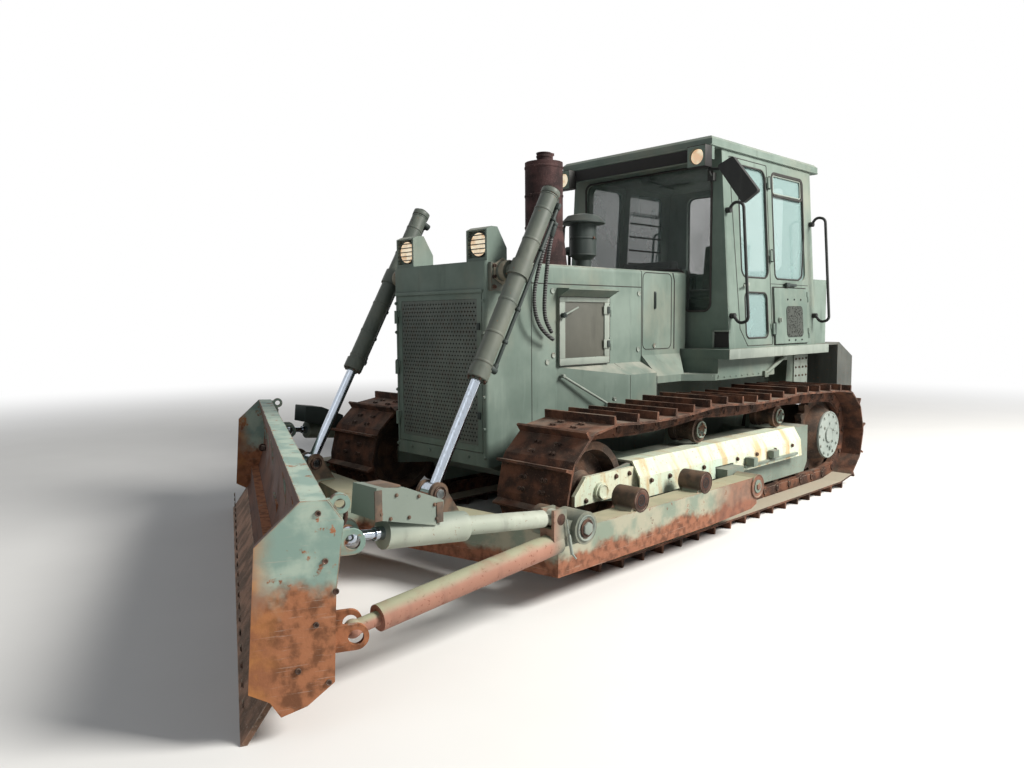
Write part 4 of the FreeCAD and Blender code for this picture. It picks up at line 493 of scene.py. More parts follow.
# Track frames and their covers. Welded boxes in the machine's green, each with a folded plate
# over its outer side in cream and pale green that feet have scratched and oil has stained.
def old_paint(name, fresh, faded, primer, chips=0.66, streaks=0.5, dust=0.35, edge=0.7, metal=0.0, gloss=0.52):
    """Sprayed paint that has faded, run, chipped through to its primer and caught dust."""
    finish = Finish(name, metallic=metal, specular_ior_level=0.28)
    age = finish.between(finish.cloud(1.7, 4.0, rough=0.6), 0.32, 0.70)
    tone = finish.blend(fresh, faded, age)
    runs = finish.between(finish.cloud(1.8, 5.0, (7, 7, 1.0), shift=2.0), 0.52, 0.80)
    tone = finish.blend(tone, tuple(min(1.0, c * 1.28 + 0.03) for c in faded), runs * streaks)
    soot = finish.between(finish.cloud(2.2, 5.0, (5, 5, 0.9), shift=7.0), 0.56, 0.80)
    tone = finish.blend(tone, tuple(c * 0.55 for c in fresh), soot * 0.55)
    speck = finish.cloud(60.0, 4.0, rough=0.65)
    spots = finish.between(speck, chips, chips + 0.05)
    worn = finish.rim(0.007) * finish.between(finish.cloud(18.0, 4.0, shift=5.0), 0.46, 0.60)
    bare = finish.between(finish.node("Math", {0: spots, 1: worn * edge}, operation="MAXIMUM"), 0.3, 0.6)
    tone = finish.blend(tone, primer, bare * 0.85)
    powder = finish.facing_up(0.5, 0.95) * finish.between(finish.cloud(4.0, 5.0, shift=9.0), 0.30, 0.72)
    tone = finish.blend(tone, (0.36, 0.34, 0.29), powder * dust)
    finish.feed(base_color=tone, roughness=gloss + speck * 0.12 + bare * 0.25 + powder * 0.2)
    dents = finish.cloud(2.6, 2.0, shift=4.0) * 6.0 + speck * 0.5 - bare * 0.6
    finish.feed(normal=finish.relief(dents, 0.0011, 0.7))
    return finish


GREEN = (0.100, 0.138, 0.116)
GREEN_FADED = (0.165, 0.212, 0.182)
RUST = (0.20, 0.085, 0.045)
frame_green = old_paint("frame_green", (0.10, 0.13, 0.105), (0.17, 0.205, 0.17), RUST, 0.62, 0.4, 0.6)
cream_guard = old_paint("cream_guard", (0.56, 0.56, 0.42), (0.44, 0.55, 0.45), (0.34, 0.20, 0.12), 0.61, 0.6, 0.35)
cream = Tone(cream_guard, cream_guard.shader.inputs["Base Color"].links[0].from_socket)
drips = cream_guard.between(cream_guard.cloud(2.2, 5.0, (1, 4, 0.9), shift=6.0), 0.48, 0.64)
cream_guard.feed(base_color=cream_guard.blend(cream, (0.44, 0.28, 0.12), drips * 0.75))
coat("track_frames", frame_green)
coat("track_guards", cream_guard)


# Fastenings of the track covers. Hexagon bolts along their fold and the nose's lower edge, a cap
# over the idler's axle, and a bracket with two stops above the push arm's pivot.
guard_spots = [((1172, y, 470), (1, 0, 0.1)) for y in (760, 960, 1160, 1360, 1800, 2080, 2360, 2640)]
guard_spots += [((1119, y, 425), (1, 0, 0)) for y in (190, 330, 450, 600)]
guard_spots += [((1119, y, 530), (1, 0, 0)) for y in (470, 600)]
both_sides(bolt_heads("cover_bolts_left", guard_spots, 26, 10, bolt_rust))
axle_cap = round_bar("axle_cap_left", (1134, 318, 463), (1152, 318, 463), 44, 4, 28, 5.0)
both_sides(dress(axle_cap, cream_guard))
stops = [
    plate("stop_low", (1176, 1900, 405), (1250, 1960, 470), 5),
    plate("stop_high", (1176, 2240, 420), (1225, 2330, 480), 5), plate("rail", (1176, 1880, 392), (1196, 2700, 412), 3),
]
both_sides(dress(joined("cover_stops_left", stops), frame_green))


# Wheels of the tracks. Cast idlers, rollers and toothed rings, oily and brown, with the painted
# covers of the final drives bolted on outside.
oily_cast = rusty_steel("oily_cast", (0.055, 0.042, 0.034), (0.13, 0.075, 0.05), (0.28, 0.22, 0.18))
for node in ("idlers", "bottom_rollers", "carrier_rollers", "sprockets", "final_drives"):
    coat(node, oily_cast)


# Fittings of the wheels. A pale painted cover with a ring of bolts closes each final drive, and
# caps with three bolts close the carrier rollers and the idler's axle.
cover_paint = old_paint("cover_paint", (0.21, 0.245, 0.225), (0.285, 0.32, 0.295), (0.16, 0.10, 0.07), 0.68, 0.5, 0.2)
HUB = (3505.0, 455.0)


def ring_spots(x, centre, radius, count, start=0.0):
    spots = []
    for i in range(count):
        a = math.radians(start + 360.0 * i / count)
        spots.append(((x, centre[0] + radius * math.cos(a), centre[1] + radius * math.sin(a)), (1, 0, 0)))
    return spots


hub_plate = round_bar("hub_plate_left", (1066, *HUB), (1089, *HUB), 206, 5, 48, 8.0)
hub_boss = round_bar("hub_boss", (1078, *HUB), (1094, *HUB), 66, 4, 32, 4.0)
plug = round_bar("plug", (1080, HUB[0] + 30, HUB[1] - 118), (1096, HUB[0] + 30, HUB[1] - 118), 17, 3, 16, 3.0)
both_sides(dress(joined("hub_plate_left", [hub_plate, hub_boss, plug]), cover_paint))
hub_bolts = ring_spots(1081, HUB, 176, 12) + ring_spots(1081, HUB, 100, 6, 20)
both_sides(bolt_heads("hub_bolts_left", hub_bolts, 22, 9, cover_paint))
caps = []
for y, z in CARRIERS:
    centre = (y, z - 136)
    caps.append(round_bar("cap", (1054, *centre), (1066, *centre), 60, 3, 28, 6.0))
    both_sides(bolt_heads("cap_bolts_left", ring_spots(1066, centre, 43, 5, 15), 14, 6, bolt_rust))
both_sides(dress(joined("carrier_caps_left", caps), frame_green))


# Chassis, cases and drawbar. Heavy castings and welded boxes under the body, dark with oil.
for node in ("main_frame", "rear_case", "drawbar"):
    coat(node, frame_green)
# Near-black paint for the engine and the radiator core, also used as painted shade on the rear box.
engine_paint_and_shade = old_paint("engine_paint_and_shade", (0.05, 0.055, 0.05), (0.09, 0.095, 0.085), (0.12, 0.07, 0.045), 0.6, 0.3, 0.5)
coat("engine_block", engine_paint_and_shade)
coat("radiator_core", engine_paint_and_shade)


# Body. Pressed and welded sheet steel in a military grey-green that the sun has chalked.
body_green = old_paint("body_green", GREEN, GREEN_FADED, (0.10, 0.085, 0.065), 0.70, 0.30, 0.75)
painted = Tone(body_green, body_green.shader.inputs["Base Color"].links[0].from_socket)
stains = body_green.between(body_green.cloud(1.5, 6.0, (1, 1, 0.7), 0.62, 12.0), 0.50, 0.72)
body_green.feed(base_color=body_green.blend(painted, (0.215, 0.215, 0.170), stains * 0.55))
BODY_NODES = (
    "radiator_guard", "grille_door", "hood", "side_panels", "side_door_left", "side_door_right", "cowl", "fenders",
    "platform", "cab_shell", "cab_door_left", "cab_door_right", "hatch_left", "hatch_right", "cab_roof", "fuel_tank",
    "rear_box", "lamps",
)
for node in BODY_NODES:
    coat(node, body_green)
# The rear box takes the near-black paint as painted shade, for the shade it stands in behind the platform.
coat("rear_box", engine_paint_and_shade)


# Grille. A sheet with staggered round holes in the grille door's frame, with a black plate behind it
# as painted shade, under a folded drip rail, with the door's frame held by two turn clips.
bpy.ops.object.select_all(action="DESELECT")
GRILLE_X, GRILLE_LOW, GRILLE_HIGH = 391.0, 694.0, 1611.0
COLUMNS, ROWS = 54, 36
bpy.ops.mesh.primitive_grid_add(x_subdivisions=COLUMNS, y_subdivisions=ROWS, size=1, location=at(0, 3, (GRILLE_LOW + GRILLE_HIGH) / 2),
                                rotation=(math.radians(90), 0, 0))
grille = bpy.context.object
grille.name = "grille_sheet"
grille.scale = (2 * GRILLE_X / 1000, (GRILLE_HIGH - GRILLE_LOW) / 1000, 1)
bpy.ops.object.transform_apply(location=True, rotation=True, scale=True)
bpy.ops.object.mode_set(mode="EDIT")
bpy.ops.mesh.select_mode(type="VERT")
bpy.ops.mesh.select_all(action="DESELECT")
sheet = bmesh.from_edit_mesh(grille.data)
step_x, step_z = 2 * GRILLE_X / COLUMNS / 1000, (GRILLE_HIGH - GRILLE_LOW) / ROWS / 1000
corner = at(-GRILLE_X, 3, GRILLE_LOW)
holes = []
for vert in sheet.verts:
    i, j = round((vert.co.x - corner.x) / step_x), round((vert.co.z - corner.z) / step_z)
    if (i + j) % 2 and 0 < i < COLUMNS and 0 < j < ROWS:
        vert.select_set(True)
        holes.append(vert.co.copy())
sheet.select_flush_mode()
bmesh.update_edit_mesh(grille.data)
HOLE = 0.0128
bpy.ops.mesh.bevel(offset=HOLE, segments=3, profile=0.5, affect="VERTICES")
sheet = bmesh.from_edit_mesh(grille.data)
inside = {(round((h.x - corner.x) / step_x), round((h.z - corner.z) / step_z)) for h in holes}
bpy.ops.mesh.select_mode(type="FACE")
for face in sheet.faces:
    middle = face.calc_center_median()
    i, j = round((middle.x - corner.x) / step_x), round((middle.z - corner.z) / step_z)
    gap = math.hypot(middle.x - corner.x - i * step_x, middle.z - corner.z - j * step_z)
    face.select_set((i, j) in inside and gap < HOLE * 0.8)
bmesh.update_edit_mesh(grille.data)
bpy.ops.mesh.delete(type="FACE")
bpy.ops.object.mode_set(mode="OBJECT")
thick = grille.modifiers.new("thickness", "SOLIDIFY")
thick.thickness, thick.offset = 0.003, 0.0
bpy.ops.object.modifier_apply(modifier="thickness")
grille_paint = old_paint("grille_paint", (0.085, 0.10, 0.088), (0.14, 0.16, 0.14), (0.12, 0.08, 0.06), 0.70, 0.4, 0.2)
dress(grille, grille_paint, "grille_door")
# A near-black finish used only as painted shade: behind the grille, on the roof's front edge, in the wall box's recess
# and deep in the spare sockets.
painted_shade_black = Finish("painted_shade_black", roughness=0.9)
painted_shade_black.feed(base_color=painted_shade_black.blend((0.004, 0.004, 0.004), (0.012, 0.011, 0.010), painted_shade_black.cloud(20.0)))
# The black plate behind the grille sheet is painted shade over the radiator's recess.
dress(plate("grille_painted_shade", (-392, 6.4, 693), (392, 7.8, 1612), 0.4), painted_shade_black, "grille_door")
drip = [plate("drip", (-452, -12, 1664), (452, -0.5, 1672), 2), plate("drip_lip", (-452, -14, 1650), (452, -10, 1672), 1.5)]
clips = [plate("clip", (x, -11, z), (x + 26, 0, z + 44), 3) for x in (398,) for z in (860, 1420)]
dress(joined("grille_drip", drip), body_green)
black_green = old_paint("black_green", (0.018, 0.026, 0.024), (0.038, 0.050, 0.046), (0.09, 0.07, 0.05), 0.72, 0.3, 0.3)
dress(joined("grille_clips", clips), black_green, "grille_door")
edge_bolts = [((x, -1, z), (0, -1, 0)) for x in (-456, 456) for z in (620, 800, 1000, 1200, 1400, 1600)]
edge_bolts += [((x, -1, 610), (0, -1, 0)) for x in (-300, -100, 100, 300)]
bolt_heads("guard_bolts", edge_bolts, 20, 8, body_green)


# Joints of the bonnet and the body sides. Folded seams closed by black rubber strips, quarter-turn
# fasteners in dished washers, a door with a pale frame and a lever, and a latch on the rear panel.
seam_rubber = Finish("seam_rubber", roughness=0.85)
seam_rubber.feed(base_color=seam_rubber.blend((0.010, 0.010, 0.009), (0.035, 0.032, 0.028), seam_rubber.cloud(30.0)))
SIDE = 474.6


def as_mesh(piece):
    """Turns a tube along a line into a mesh."""
    bpy.ops.object.select_all(action="DESELECT")
    piece.select_set(True)
    bpy.context.view_layer.objects.active = piece
    bpy.ops.object.convert(target="MESH")
    return bpy.context.object


def seam(name, route, radius=3.2, body="machine", other="machine"):
    """A rubber strip laid along a joint on the left, mirrored to the right."""
    strip = as_mesh(spline_through(name + "_left", route, radius, kind="POLY"))
    both_sides(dress(strip, seam_rubber, body), bodies=other)


def rounded(corners, radius, steps=5):
    """Corners in order, each given as (y, z), rounded by arcs."""
    points = []
    for i, spot in enumerate(corners):
        here = Vector(spot)
        back = (Vector(corners[i - 1]) - here).normalized()
        on = (Vector(corners[(i + 1) % len(corners)]) - here).normalized()
        half = back.angle(on) / 2
        centre = here + (back + on).normalized() * (radius / math.sin(half))
        first, last = here + back * (radius / math.tan(half)), here + on * (radius / math.tan(half))
        a, b = (first - centre), (last - centre)
        for k in range(steps + 1):
            t = k / steps
            points.append(tuple(centre + (a * (1 - t) + b * t).normalized() * radius))
    return points


seam("bonnet_seam", [(SIDE, 404, 1719), (SIDE, 1583, 1719)])
seam("guard_seam", [(SIDE, 401, 705), (SIDE, 401, 1842)], 2.2)
seam("cowl_seam", [(SIDE, 1584, 1205), (SIDE, 1584, 1822), (470, 1584, 1838), (446, 1584, 1852)])
panel = [(SIDE, y, z) for y, z in rounded([(1600, 1250), (1600, 1832), (1973, 1832), (1973, 1250)], 46)]
seam("panel_seam", panel + panel[:1])
seam("rear_seam", [(SIDE, 2012, 1245), (SIDE, 2012, 1780), (SIDE, 1990, 1838)], 5.0)
seam("ledge_seam", [(SIDE, 1584, 1207), (621, 1584, 1054), (621, 1584, 760)], 2.6)
seam("ledge_edge", [(475, 1260, 1160), (621, 1262, 1078), (621, 1262, 760)], 1.6)
door_edge = [(495.5, y, z) for y, z in rounded([(645, 1168), (645, 1634), (1180, 1634), (1180, 1168)], 14)]
seam("door_seam", door_edge + door_edge[:1], 2.4, "side_door_left", "side_door_right")

pale_trim = old_paint("pale_trim", (0.175, 0.205, 0.18), (0.26, 0.29, 0.255), (0.14, 0.10, 0.07), 0.70, 0.5, 0.15)
primer_panel = old_paint("primer_panel", (0.062, 0.064, 0.053), (0.092, 0.092, 0.077), (0.10, 0.085, 0.07), 0.72, 0.4, 0.1)
for side, sign in (("left", 1), ("right", -1)):
    def lay(name, low, high, edge, finish, body):
        ends = sorted((sign * low[0], sign * high[0]))
        return dress(plate(name, (ends[0], low[1], low[2]), (ends[1], high[1], high[2]), edge), finish, body)
    door = "side_door_" + side
    lay("door_panel_" + side, (486, 706, 1219), (489.4, 1119, 1623), 1.0, primer_panel, door)
    for name, low, high in (
        ("top", (494.6, 648, 1600), (497, 1177, 1632)), ("low", (494.6, 648, 1170), (497, 1177, 1217)),
        ("front", (494.6, 648, 1218), (497, 704, 1599)), ("rear", (494.6, 1121, 1218), (497, 1177, 1599)),
    ):
        lay("door_frame_" + name + "_" + side, low, high, 1.0, pale_trim, door)
    for z in (1275, 1515):
        lay("door_leaf_%d_%s" % (z, side), (497, 1105, z), (505, 1172, z + 62), 2.0, pale_trim, door)
        lay("door_knuckle_%d_%s" % (z, side), (505, 1140, z + 6), (514, 1166, z + 56), 3.0, black_green, door)
    lever = [
        round_bar("lever", (sign * 497, 670, 1508), (sign * 530, 670, 1508), 17, 3, 20, 3.0),
        plate("grip", (sign * 526 - 6, 664, 1500), (sign * 526 + 6, 690, 1530), 4),
    ]
    dress(joined("door_lever_" + side, lever), black_green, door)
    arm = spline_through("door_arm_" + side, [(sign * 530, 676, 1516), (sign * 533, 735, 1540), (sign * 533, 795, 1563)], 6.5)
    dress(as_mesh(arm), pale_trim, door)
washers = [((SIDE, y, z), (1, 0, 0)) for y, z in ((600, 1672), (606, 1243), (546, 1199), (1540, 1254), (1548, 1672), (1748, 1277))]
dished = round_bar("washer", -NOSE, -NOSE + Vector((0, 0, 7)), 19, 2, 20, 3.0)
both_sides(dress(spread(dished, [facing(*spot) for spot in washers]), pale_trim))
latch = [
    plate("latch", (474, 1742, 1556), (482, 1764, 1690), 3), round_bar("pull", (484, 1753, 1566), (484, 1753, 1680), 6, 2, 12),
]
both_sides(dress(joined("panel_latch_left", latch), black_green))
strut_bar = [
    round_bar("prop", (505, 672, 1098), (632, 1052, 868), 9, 2, 14), round_bar("prop_pin", (490, 672, 1100), (520, 672, 1100), 13, 3, 16),
    round_bar("ring_bolt", (618, 1068, 922), (640, 1068, 922), 15, 3, 16, 4.0),
]
both_sides(dress(joined("side_prop_left", strut_bar), pale_trim))


# Exhaust and air cleaner. A silencer brown with heat and rust, and a dark green pre-cleaner.
brown_exhaust = rusty_steel("brown_exhaust", (0.022, 0.013, 0.013), (0.058, 0.028, 0.027), (0.13, 0.085, 0.08), 0.1)
coat("muffler", brown_exhaust)
coat("rain_flap", brown_exhaust)
coat("air_cleaner", black_green)


# Clamps and pipes on the bonnet. Steel bands round the silencer, the bolts of a ribbed heat guard at
# its foot, and a band, a bracket and a side pipe on the pre-cleaner.
bands = [round_bar("band", (0, 1020, z), (0, 1020, z + 16), 144, 3, 40) for z in (2150, 2380, 2585)]
bands += [round_bar("throat", (0, 1020, 2606), (0, 1020, 2632), 96, 8, 36), round_bar("cuff", (0, 1020, 2668), (0, 1020, 2684), 56, 3, 32)]
bands += [plate("band_lug", (-12, 868, z - 2), (12, 886, z + 18), 3) for z in (2150, 2380)]
dress(joined("silencer_bands", bands), brown_exhaust)
feet = [((172 * math.cos(math.radians(a)), 1020 + 172 * math.sin(math.radians(a)), 1856), (0, 0, 1)) for a in range(15, 375, 45)]
bolt_heads("guard_feet", feet, 18, 8, bolt_rust)
cleaner = [
    round_bar("clamp", (100, 1345, 2086), (100, 1345, 2100), 105, 3, 36), round_bar("foot", (100, 1345, 1962), (100, 1345, 1974), 103, 3, 36),
    round_bar("brim", (100, 1345, 2203), (100, 1345, 2211), 168, 3, 40), round_bar("side_pipe", (10, 1345, 2010), (-64, 1345, 2010), 33, 4, 28, 5.0),
    round_bar("bracket", (-40, 1345, 1850), (-40, 1345, 1990), 12, 3, 16), round_bar("stay", (-34, 1345, 2030), (-34, 1345, 2196), 6, 2, 12),
]
dress(joined("cleaner_fittings", cleaner), black_green)
bolt_heads("cleaner_bolts", [((-66, 1345, 2010), (-1, 0, 0)), ((206, 1345, 2093), (1, 0, 0))], 18, 7, bolt_rust)


# Fittings of the platform and cab walls. Black hinge blocks, a bright door lever, a black latch
# under the side window, a hatch with a mesh pane and a ring knob, and riveted skirts with a brace.
LEAN = 95.5 / 1550.0


def wall_x(z, out=0.0):
    return 845.0 - LEAN * (z - 1240.0) + out


def pair_of(pieces, name, finish, body="machine", other=None):
    """Joins pieces on the left, dresses them and mirrors them to the right."""
    both_sides(dress(joined(name + "_left", pieces), finish, body), bodies=other)


blocks = [plate("block", (wall_x(z, 2), 2921, z - 8), (wall_x(z, 27), 2945, z + 100), 5) for z in (1345, 1955, 2560)]
pair_of(blocks, "hinge_blocks", black_green)
lever = [
    round_bar("lever", (wall_x(1752), 2492, 1752), (wall_x(1752, 42), 2492, 1752), 15, 3, 20, 3.0),
    round_bar("grip", (wall_x(1748, 36), 2418, 1736), (wall_x(1748, 36), 2500, 1756), 9, 4, 16),
]
pair_of(lever, "door_lever", pale_trim, body="cab_door_left", other="cab_door_right")
latch = [
    plate("latch", (wall_x(1770), 3150, 1752), (wall_x(1770, 24), 3350, 1776), 5),
    plate("latch_grip", (wall_x(1770, 14), 3140, 1744), (wall_x(1770, 40), 3200, 1784), 7),
]
pair_of(latch, "window_latch", black_green)
FACE = 18.0
mesh_pane = [(wall_x(z, FACE), y, z) for y, z in rounded([(3150, 1316), (3150, 1584), (3448, 1584), (3448, 1316)], 40)]
bpy.ops.object.select_all(action="DESELECT")
bpy.ops.mesh.primitive_circle_add(vertices=len(mesh_pane), radius=1, fill_type="NGON")
pane = bpy.context.object
pane.name = "hatch_mesh_left"
for vert, spot in zip(pane.data.vertices, mesh_pane):
    vert.co = at(*spot)
bpy.ops.object.mode_set(mode="EDIT")
bpy.ops.mesh.select_all(action="SELECT")
bpy.ops.mesh.extrude_region_move(TRANSFORM_OT_translate={"value": (0.003, 0, 0)})
bpy.ops.mesh.select_all(action="SELECT")
bpy.ops.mesh.normals_make_consistent(inside=False)
bpy.ops.object.mode_set(mode="OBJECT")
mesh_finish = Finish("mesh_pane", roughness=0.8, specular_ior_level=0.1)
cells = mesh_finish.node("TexVoronoi", {"Vector": mesh_finish.place, "Scale": 62.0}, feature="F1")
wires = mesh_finish.between(cells, 0.30, 0.42)
# Between the wires the solid pane is near black: painted shade behind the mesh.
mesh_finish.feed(base_color=mesh_finish.blend((0.004, 0.005, 0.004), (0.060, 0.066, 0.060), wires))
mesh_finish.feed(normal=mesh_finish.relief(wires, 0.002))
both_sides(dress(pane, mesh_finish, "hatch_left"), bodies="hatch_right")
knob = [round_bar("knob", (wall_x(1466, 16), 3018, 1466), (wall_x(1466, 34), 3018, 1466), 22, 3, 24, 6.0)]
knob.append(plate("knob_bar", (wall_x(1466, 30), 3012, 1448), (wall_x(1466, 42), 3024, 1484), 3))
pair_of(knob, "hatch_knob", pale_trim, body="hatch_left", other="hatch_right")
hatch_spots = [((wall_x(z, 17), y, z), (1, 0, LEAN)) for y in (3180, 3300, 3420) for z in (1290, 1640)]
both_sides(bolt_heads("hatch_bolts_left", hatch_spots, 14, 5, black_green, "hatch_left"), bodies="hatch_right")
outline = [(wall_x(z, 1), y, z) for y, z in rounded([(2944, 1256), (2944, 1742), (3556, 1742), (3556, 1256)], 12)]
seam("hatch_seam", outline + outline[:1], 4.0)
cab_door = rounded([(2327, 2748), (2397, 1397), (2507, 1259), (2918, 1259), (2918, 2748)], 16)
outline = [(wall_x(z, 0.6), y, z) for y, z in cab_door]
seam("door_gap", outline + outline[:1], 3.0)
seam("wall_seam", [(wall_x(1768, 0.6), 2921, 1768), (wall_x(1768, 0.6), 3600, 1768)], 2.2)

# A pale box on the cab's front corner; the black plate at the back of its recess is painted shade.
step_frame = [
    plate("recess_painted_shade", (706, 2222.5, 1252), (838, 2226, 1384), 1), plate("recess_top", (700, 2212, 1376), (850, 2226, 1390), 2),
    plate("recess_side", (698, 2212, 1248), (712, 2226, 1390), 2),
]
pair_of(step_frame[1:], "wall_box", pale_trim)
pair_of(step_frame[:1], "wall_box_painted_shade", painted_shade_black)
edge_band = plate("platform_band_left", (899, 2128, 1164), (904, 3864, 1242), 1.5)
both_sides(dress(edge_band, pale_trim))
rivets = [((801, y, z), (1, 0, 0)) for y in range(2140, 3040, 90) for z in (1022,)]
rivets += [((801, 2050 + i * 95, 1038 - i * 3.2), (1, 0, 0)) for i in range(2)]
rivet = round_bar("rivet", -NOSE, -NOSE + Vector((0, 0, 5)), 7, 2.4, 12)
both_sides(dress(spread(rivet, [facing(*spot) for spot in rivets]), body_green))
brace = [round_bar("brace", (812, 2862, 1012), (836, 3150, 1150), 16, 3, 18), plate("brace_foot", (800, 2835, 985), (826, 2900, 1040), 4),
         plate("brace_head", (800, 3110, 1120), (846, 3185, 1164), 4)]
pair_of(brace, "platform_brace", frame_green)
web = plate("bolted_plate_left", (562, 3868, 812), (572, 4148, 1128), 3)
both_sides(dress(web, pale_trim))
web_spots = [((572, y, z), (1, 0, 0)) for y in (3900, 3970, 4040, 4110) for z in (850, 930, 1010, 1090)]
both_sides(bolt_heads("plate_bolts_left", web_spots, 18, 7, bolt_rust))


# Roof. A folded pan with a gutter round it and a lifting ring at each corner, over a black band
# on its front edge, which is painted shade.
gutter = [(x, y, 2796) for x, y in rounded([(-764, 2068), (764, 2068), (764, 3853), (-764, 3853)], 14)]
lip = spline_through("roof_gutter", gutter, 7.0, closed=True, kind="POLY")
dress(as_mesh(lip), body_green)
# The black band across the roof's front edge is painted shade.
roof_front_painted_shade = plate("roof_front_painted_shade", (-640, 2062, 2694), (596, 2069.5, 2786), 2)
dress(roof_front_painted_shade, painted_shade_black)
rings = [round_bar("ring", (s * 700, y - 9, 2845), (s * 700, y + 9, 2845), 26, 4, 24, 7.0) for s in (-1, 1) for y in (2250, 3680)]
dress(joined("roof_rings", rings), body_green)
ribs = [plate("rib", (-600, y, 2862), (600, y + 60, 2871.6), 4) for y in (2450, 2800, 3150, 3500)]
dress(joined("roof_ribs", ribs), body_green)


# Fuel tank and rear box. A filler with a vented cap and two straps on the tank, tail lamps
# and a handhold on the box behind the platform.
cap = [round_bar("filler", (-420, 3900, 1834), (-420, 3900, 1872), 62, 4, 32), round_bar("cap", (-420, 3900, 1868), (-420, 3900, 1900), 72, 7, 32, 5.0)]
dress(joined("filler_cap", cap), black_green)
straps = []
for x in (-500, 0, 500):
    straps.append(plate("strap", (x - 30, 4104, 1240), (x + 30, 4111, 1838), 2))
    straps.append(plate("strap_top", (x - 30, 3724, 1834), (x + 30, 4111, 1841), 2))
dress(joined("tank_straps", straps), body_green)
red_lens = Finish("red_lens", roughness=0.2, coat_weight=0.6)
red_lens.feed(base_color=red_lens.blend((0.30, 0.012, 0.010), (0.16, 0.006, 0.006), red_lens.cloud(30.0)))
for side, sign in (("left", 1), ("right", -1)):
    lens = round_bar("tail_lens_" + side, (sign * 640, 4100, 1690), (sign * 640, 4128, 1690), 46, 6, 32)
    dress(lens, red_lens)
    dress(round_bar("tail_rim_" + side, (sign * 640, 4100, 1690), (sign * 640, 4122, 1690), 56, 3, 32, 4.0), black_green)
hold = spline_through("rear_hold", [(-300, 4108, 1560), (-300, 4140, 1560), (0, 4142, 1560), (300, 4140, 1560), (300, 4108, 1560)], 9.0)
dress(as_mesh(hold), black_green)


# Trim of the cab. Black painted tube rails, the mirror's plastic back and the dash.
black_trim = old_paint("black_trim", (0.012, 0.013, 0.013), (0.03, 0.032, 0.03), (0.08, 0.06, 0.045), 0.74, 0.3, 0.25)
for node in ("handrails", "mirror", "dash", "seat"):
    coat(node, black_trim)


# Seat, dash and mirror. A suspension seat with a piped cushion, back and headrest in black vinyl,
# replaces the plain seat; the dash carries levers, and the mirror has a glass.
def vinyl():
    finish = Finish("seat_vinyl", roughness=0.55, coat_weight=0.15)
    grain = finish.cloud(260.0, 2.0)
    age = finish.between(finish.cloud(7.0, 4.0), 0.42, 0.7)
    finish.feed(base_color=finish.blend((0.014, 0.014, 0.015), (0.045, 0.042, 0.040), age))
    finish.feed(normal=finish.relief(grain, 0.0006, 0.7))
    return finish


seat_vinyl = vinyl()


def cushion(name, low, high, crown, seams):
    """A padded block whose faces are crowned between sewn channels."""
    piece = plate(name, low, high, 22)
    bpy.ops.object.mode_set(mode="EDIT")
    bpy.ops.mesh.select_all(action="SELECT")
    bpy.ops.mesh.subdivide(number_cuts=7, smoothness=0.0)
    bpy.ops.object.mode_set(mode="OBJECT")
    low, high = at(*low), at(*high)
    middle, half = (low + high) / 2, (high - low) / 2
    thin = min(range(3), key=lambda k: half[k])
    others = [k for k in range(3) if k != thin]
    for vert in piece.data.vertices:
        shares = [(vert.co[k] - middle[k]) / half[k] for k in range(3)]
        swell = (1 - shares[others[0]] ** 4) * (1 - shares[others[1]] ** 4)
        groove = sum(math.exp(-((shares[others[1]] - s) / 0.05) ** 2) for s in seams)
        vert.co[thin] += math.copysign(1, shares[thin]) * crown / 1000 * (swell - 1 - 0.6 * groove * swell) * abs(shares[thin])
        pull = 1 - 0.05 * (1 - shares[thin] ** 2)
        for k in others:
            vert.co[k] = middle[k] + (vert.co[k] - middle[k]) * (pull if abs(shares[k]) > 0.8 else 1.0)
    smooth = piece.modifiers.new("smooth", "SUBSURF")
    smooth.levels = smooth.render_levels = 1
    bpy.context.view_layer.objects.active = piece
    bpy.ops.object.modifier_apply(modifier="smooth")
    return piece


parts = (
    cushion("seat_cushion", (-248, 3032, 1664), (248, 3526, 1758), 18, (-0.35, 0.3)),
    cushion("seat_back", (-238, 3500, 1745), (238, 3600, 2200), 18, (-0.4, 0.0, 0.4)),
    cushion("seat_headrest", (-130, 3560, 2170), (130, 3640, 2278), 10, ()),
)
turn = Matrix.Translation(at(0, 3550, 1760)) @ Matrix.Rotation(math.radians(-7), 4, "X") @ Matrix.Translation(-at(0, 3550, 1760))
for part in parts:
    if part is not parts[0]:
        part.data.transform(turn)
    dress(part, seat_vinyl, angle=80)
    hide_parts("seat")
under = [
    plate("base", (-200, 3080, 1241), (200, 3490, 1300), 6), plate("bellows", (-170, 3110, 1300), (170, 3460, 1560), 10),
    plate("pan", (-225, 3050, 1560), (225, 3510, 1662), 8), plate("arm_left", (262, 3150, 1880), (312, 3480, 1925), 12),
    plate("arm_right", (-312, 3150, 1880), (-262, 3480, 1925), 12), plate("post_left", (268, 3440, 1640), (300, 3480, 1890), 6),
    plate("post_right", (-300, 3440, 1640), (-268, 3480, 1890), 6),
]
base = dress(joined("seat_base", under), black_trim)
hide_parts("seat")
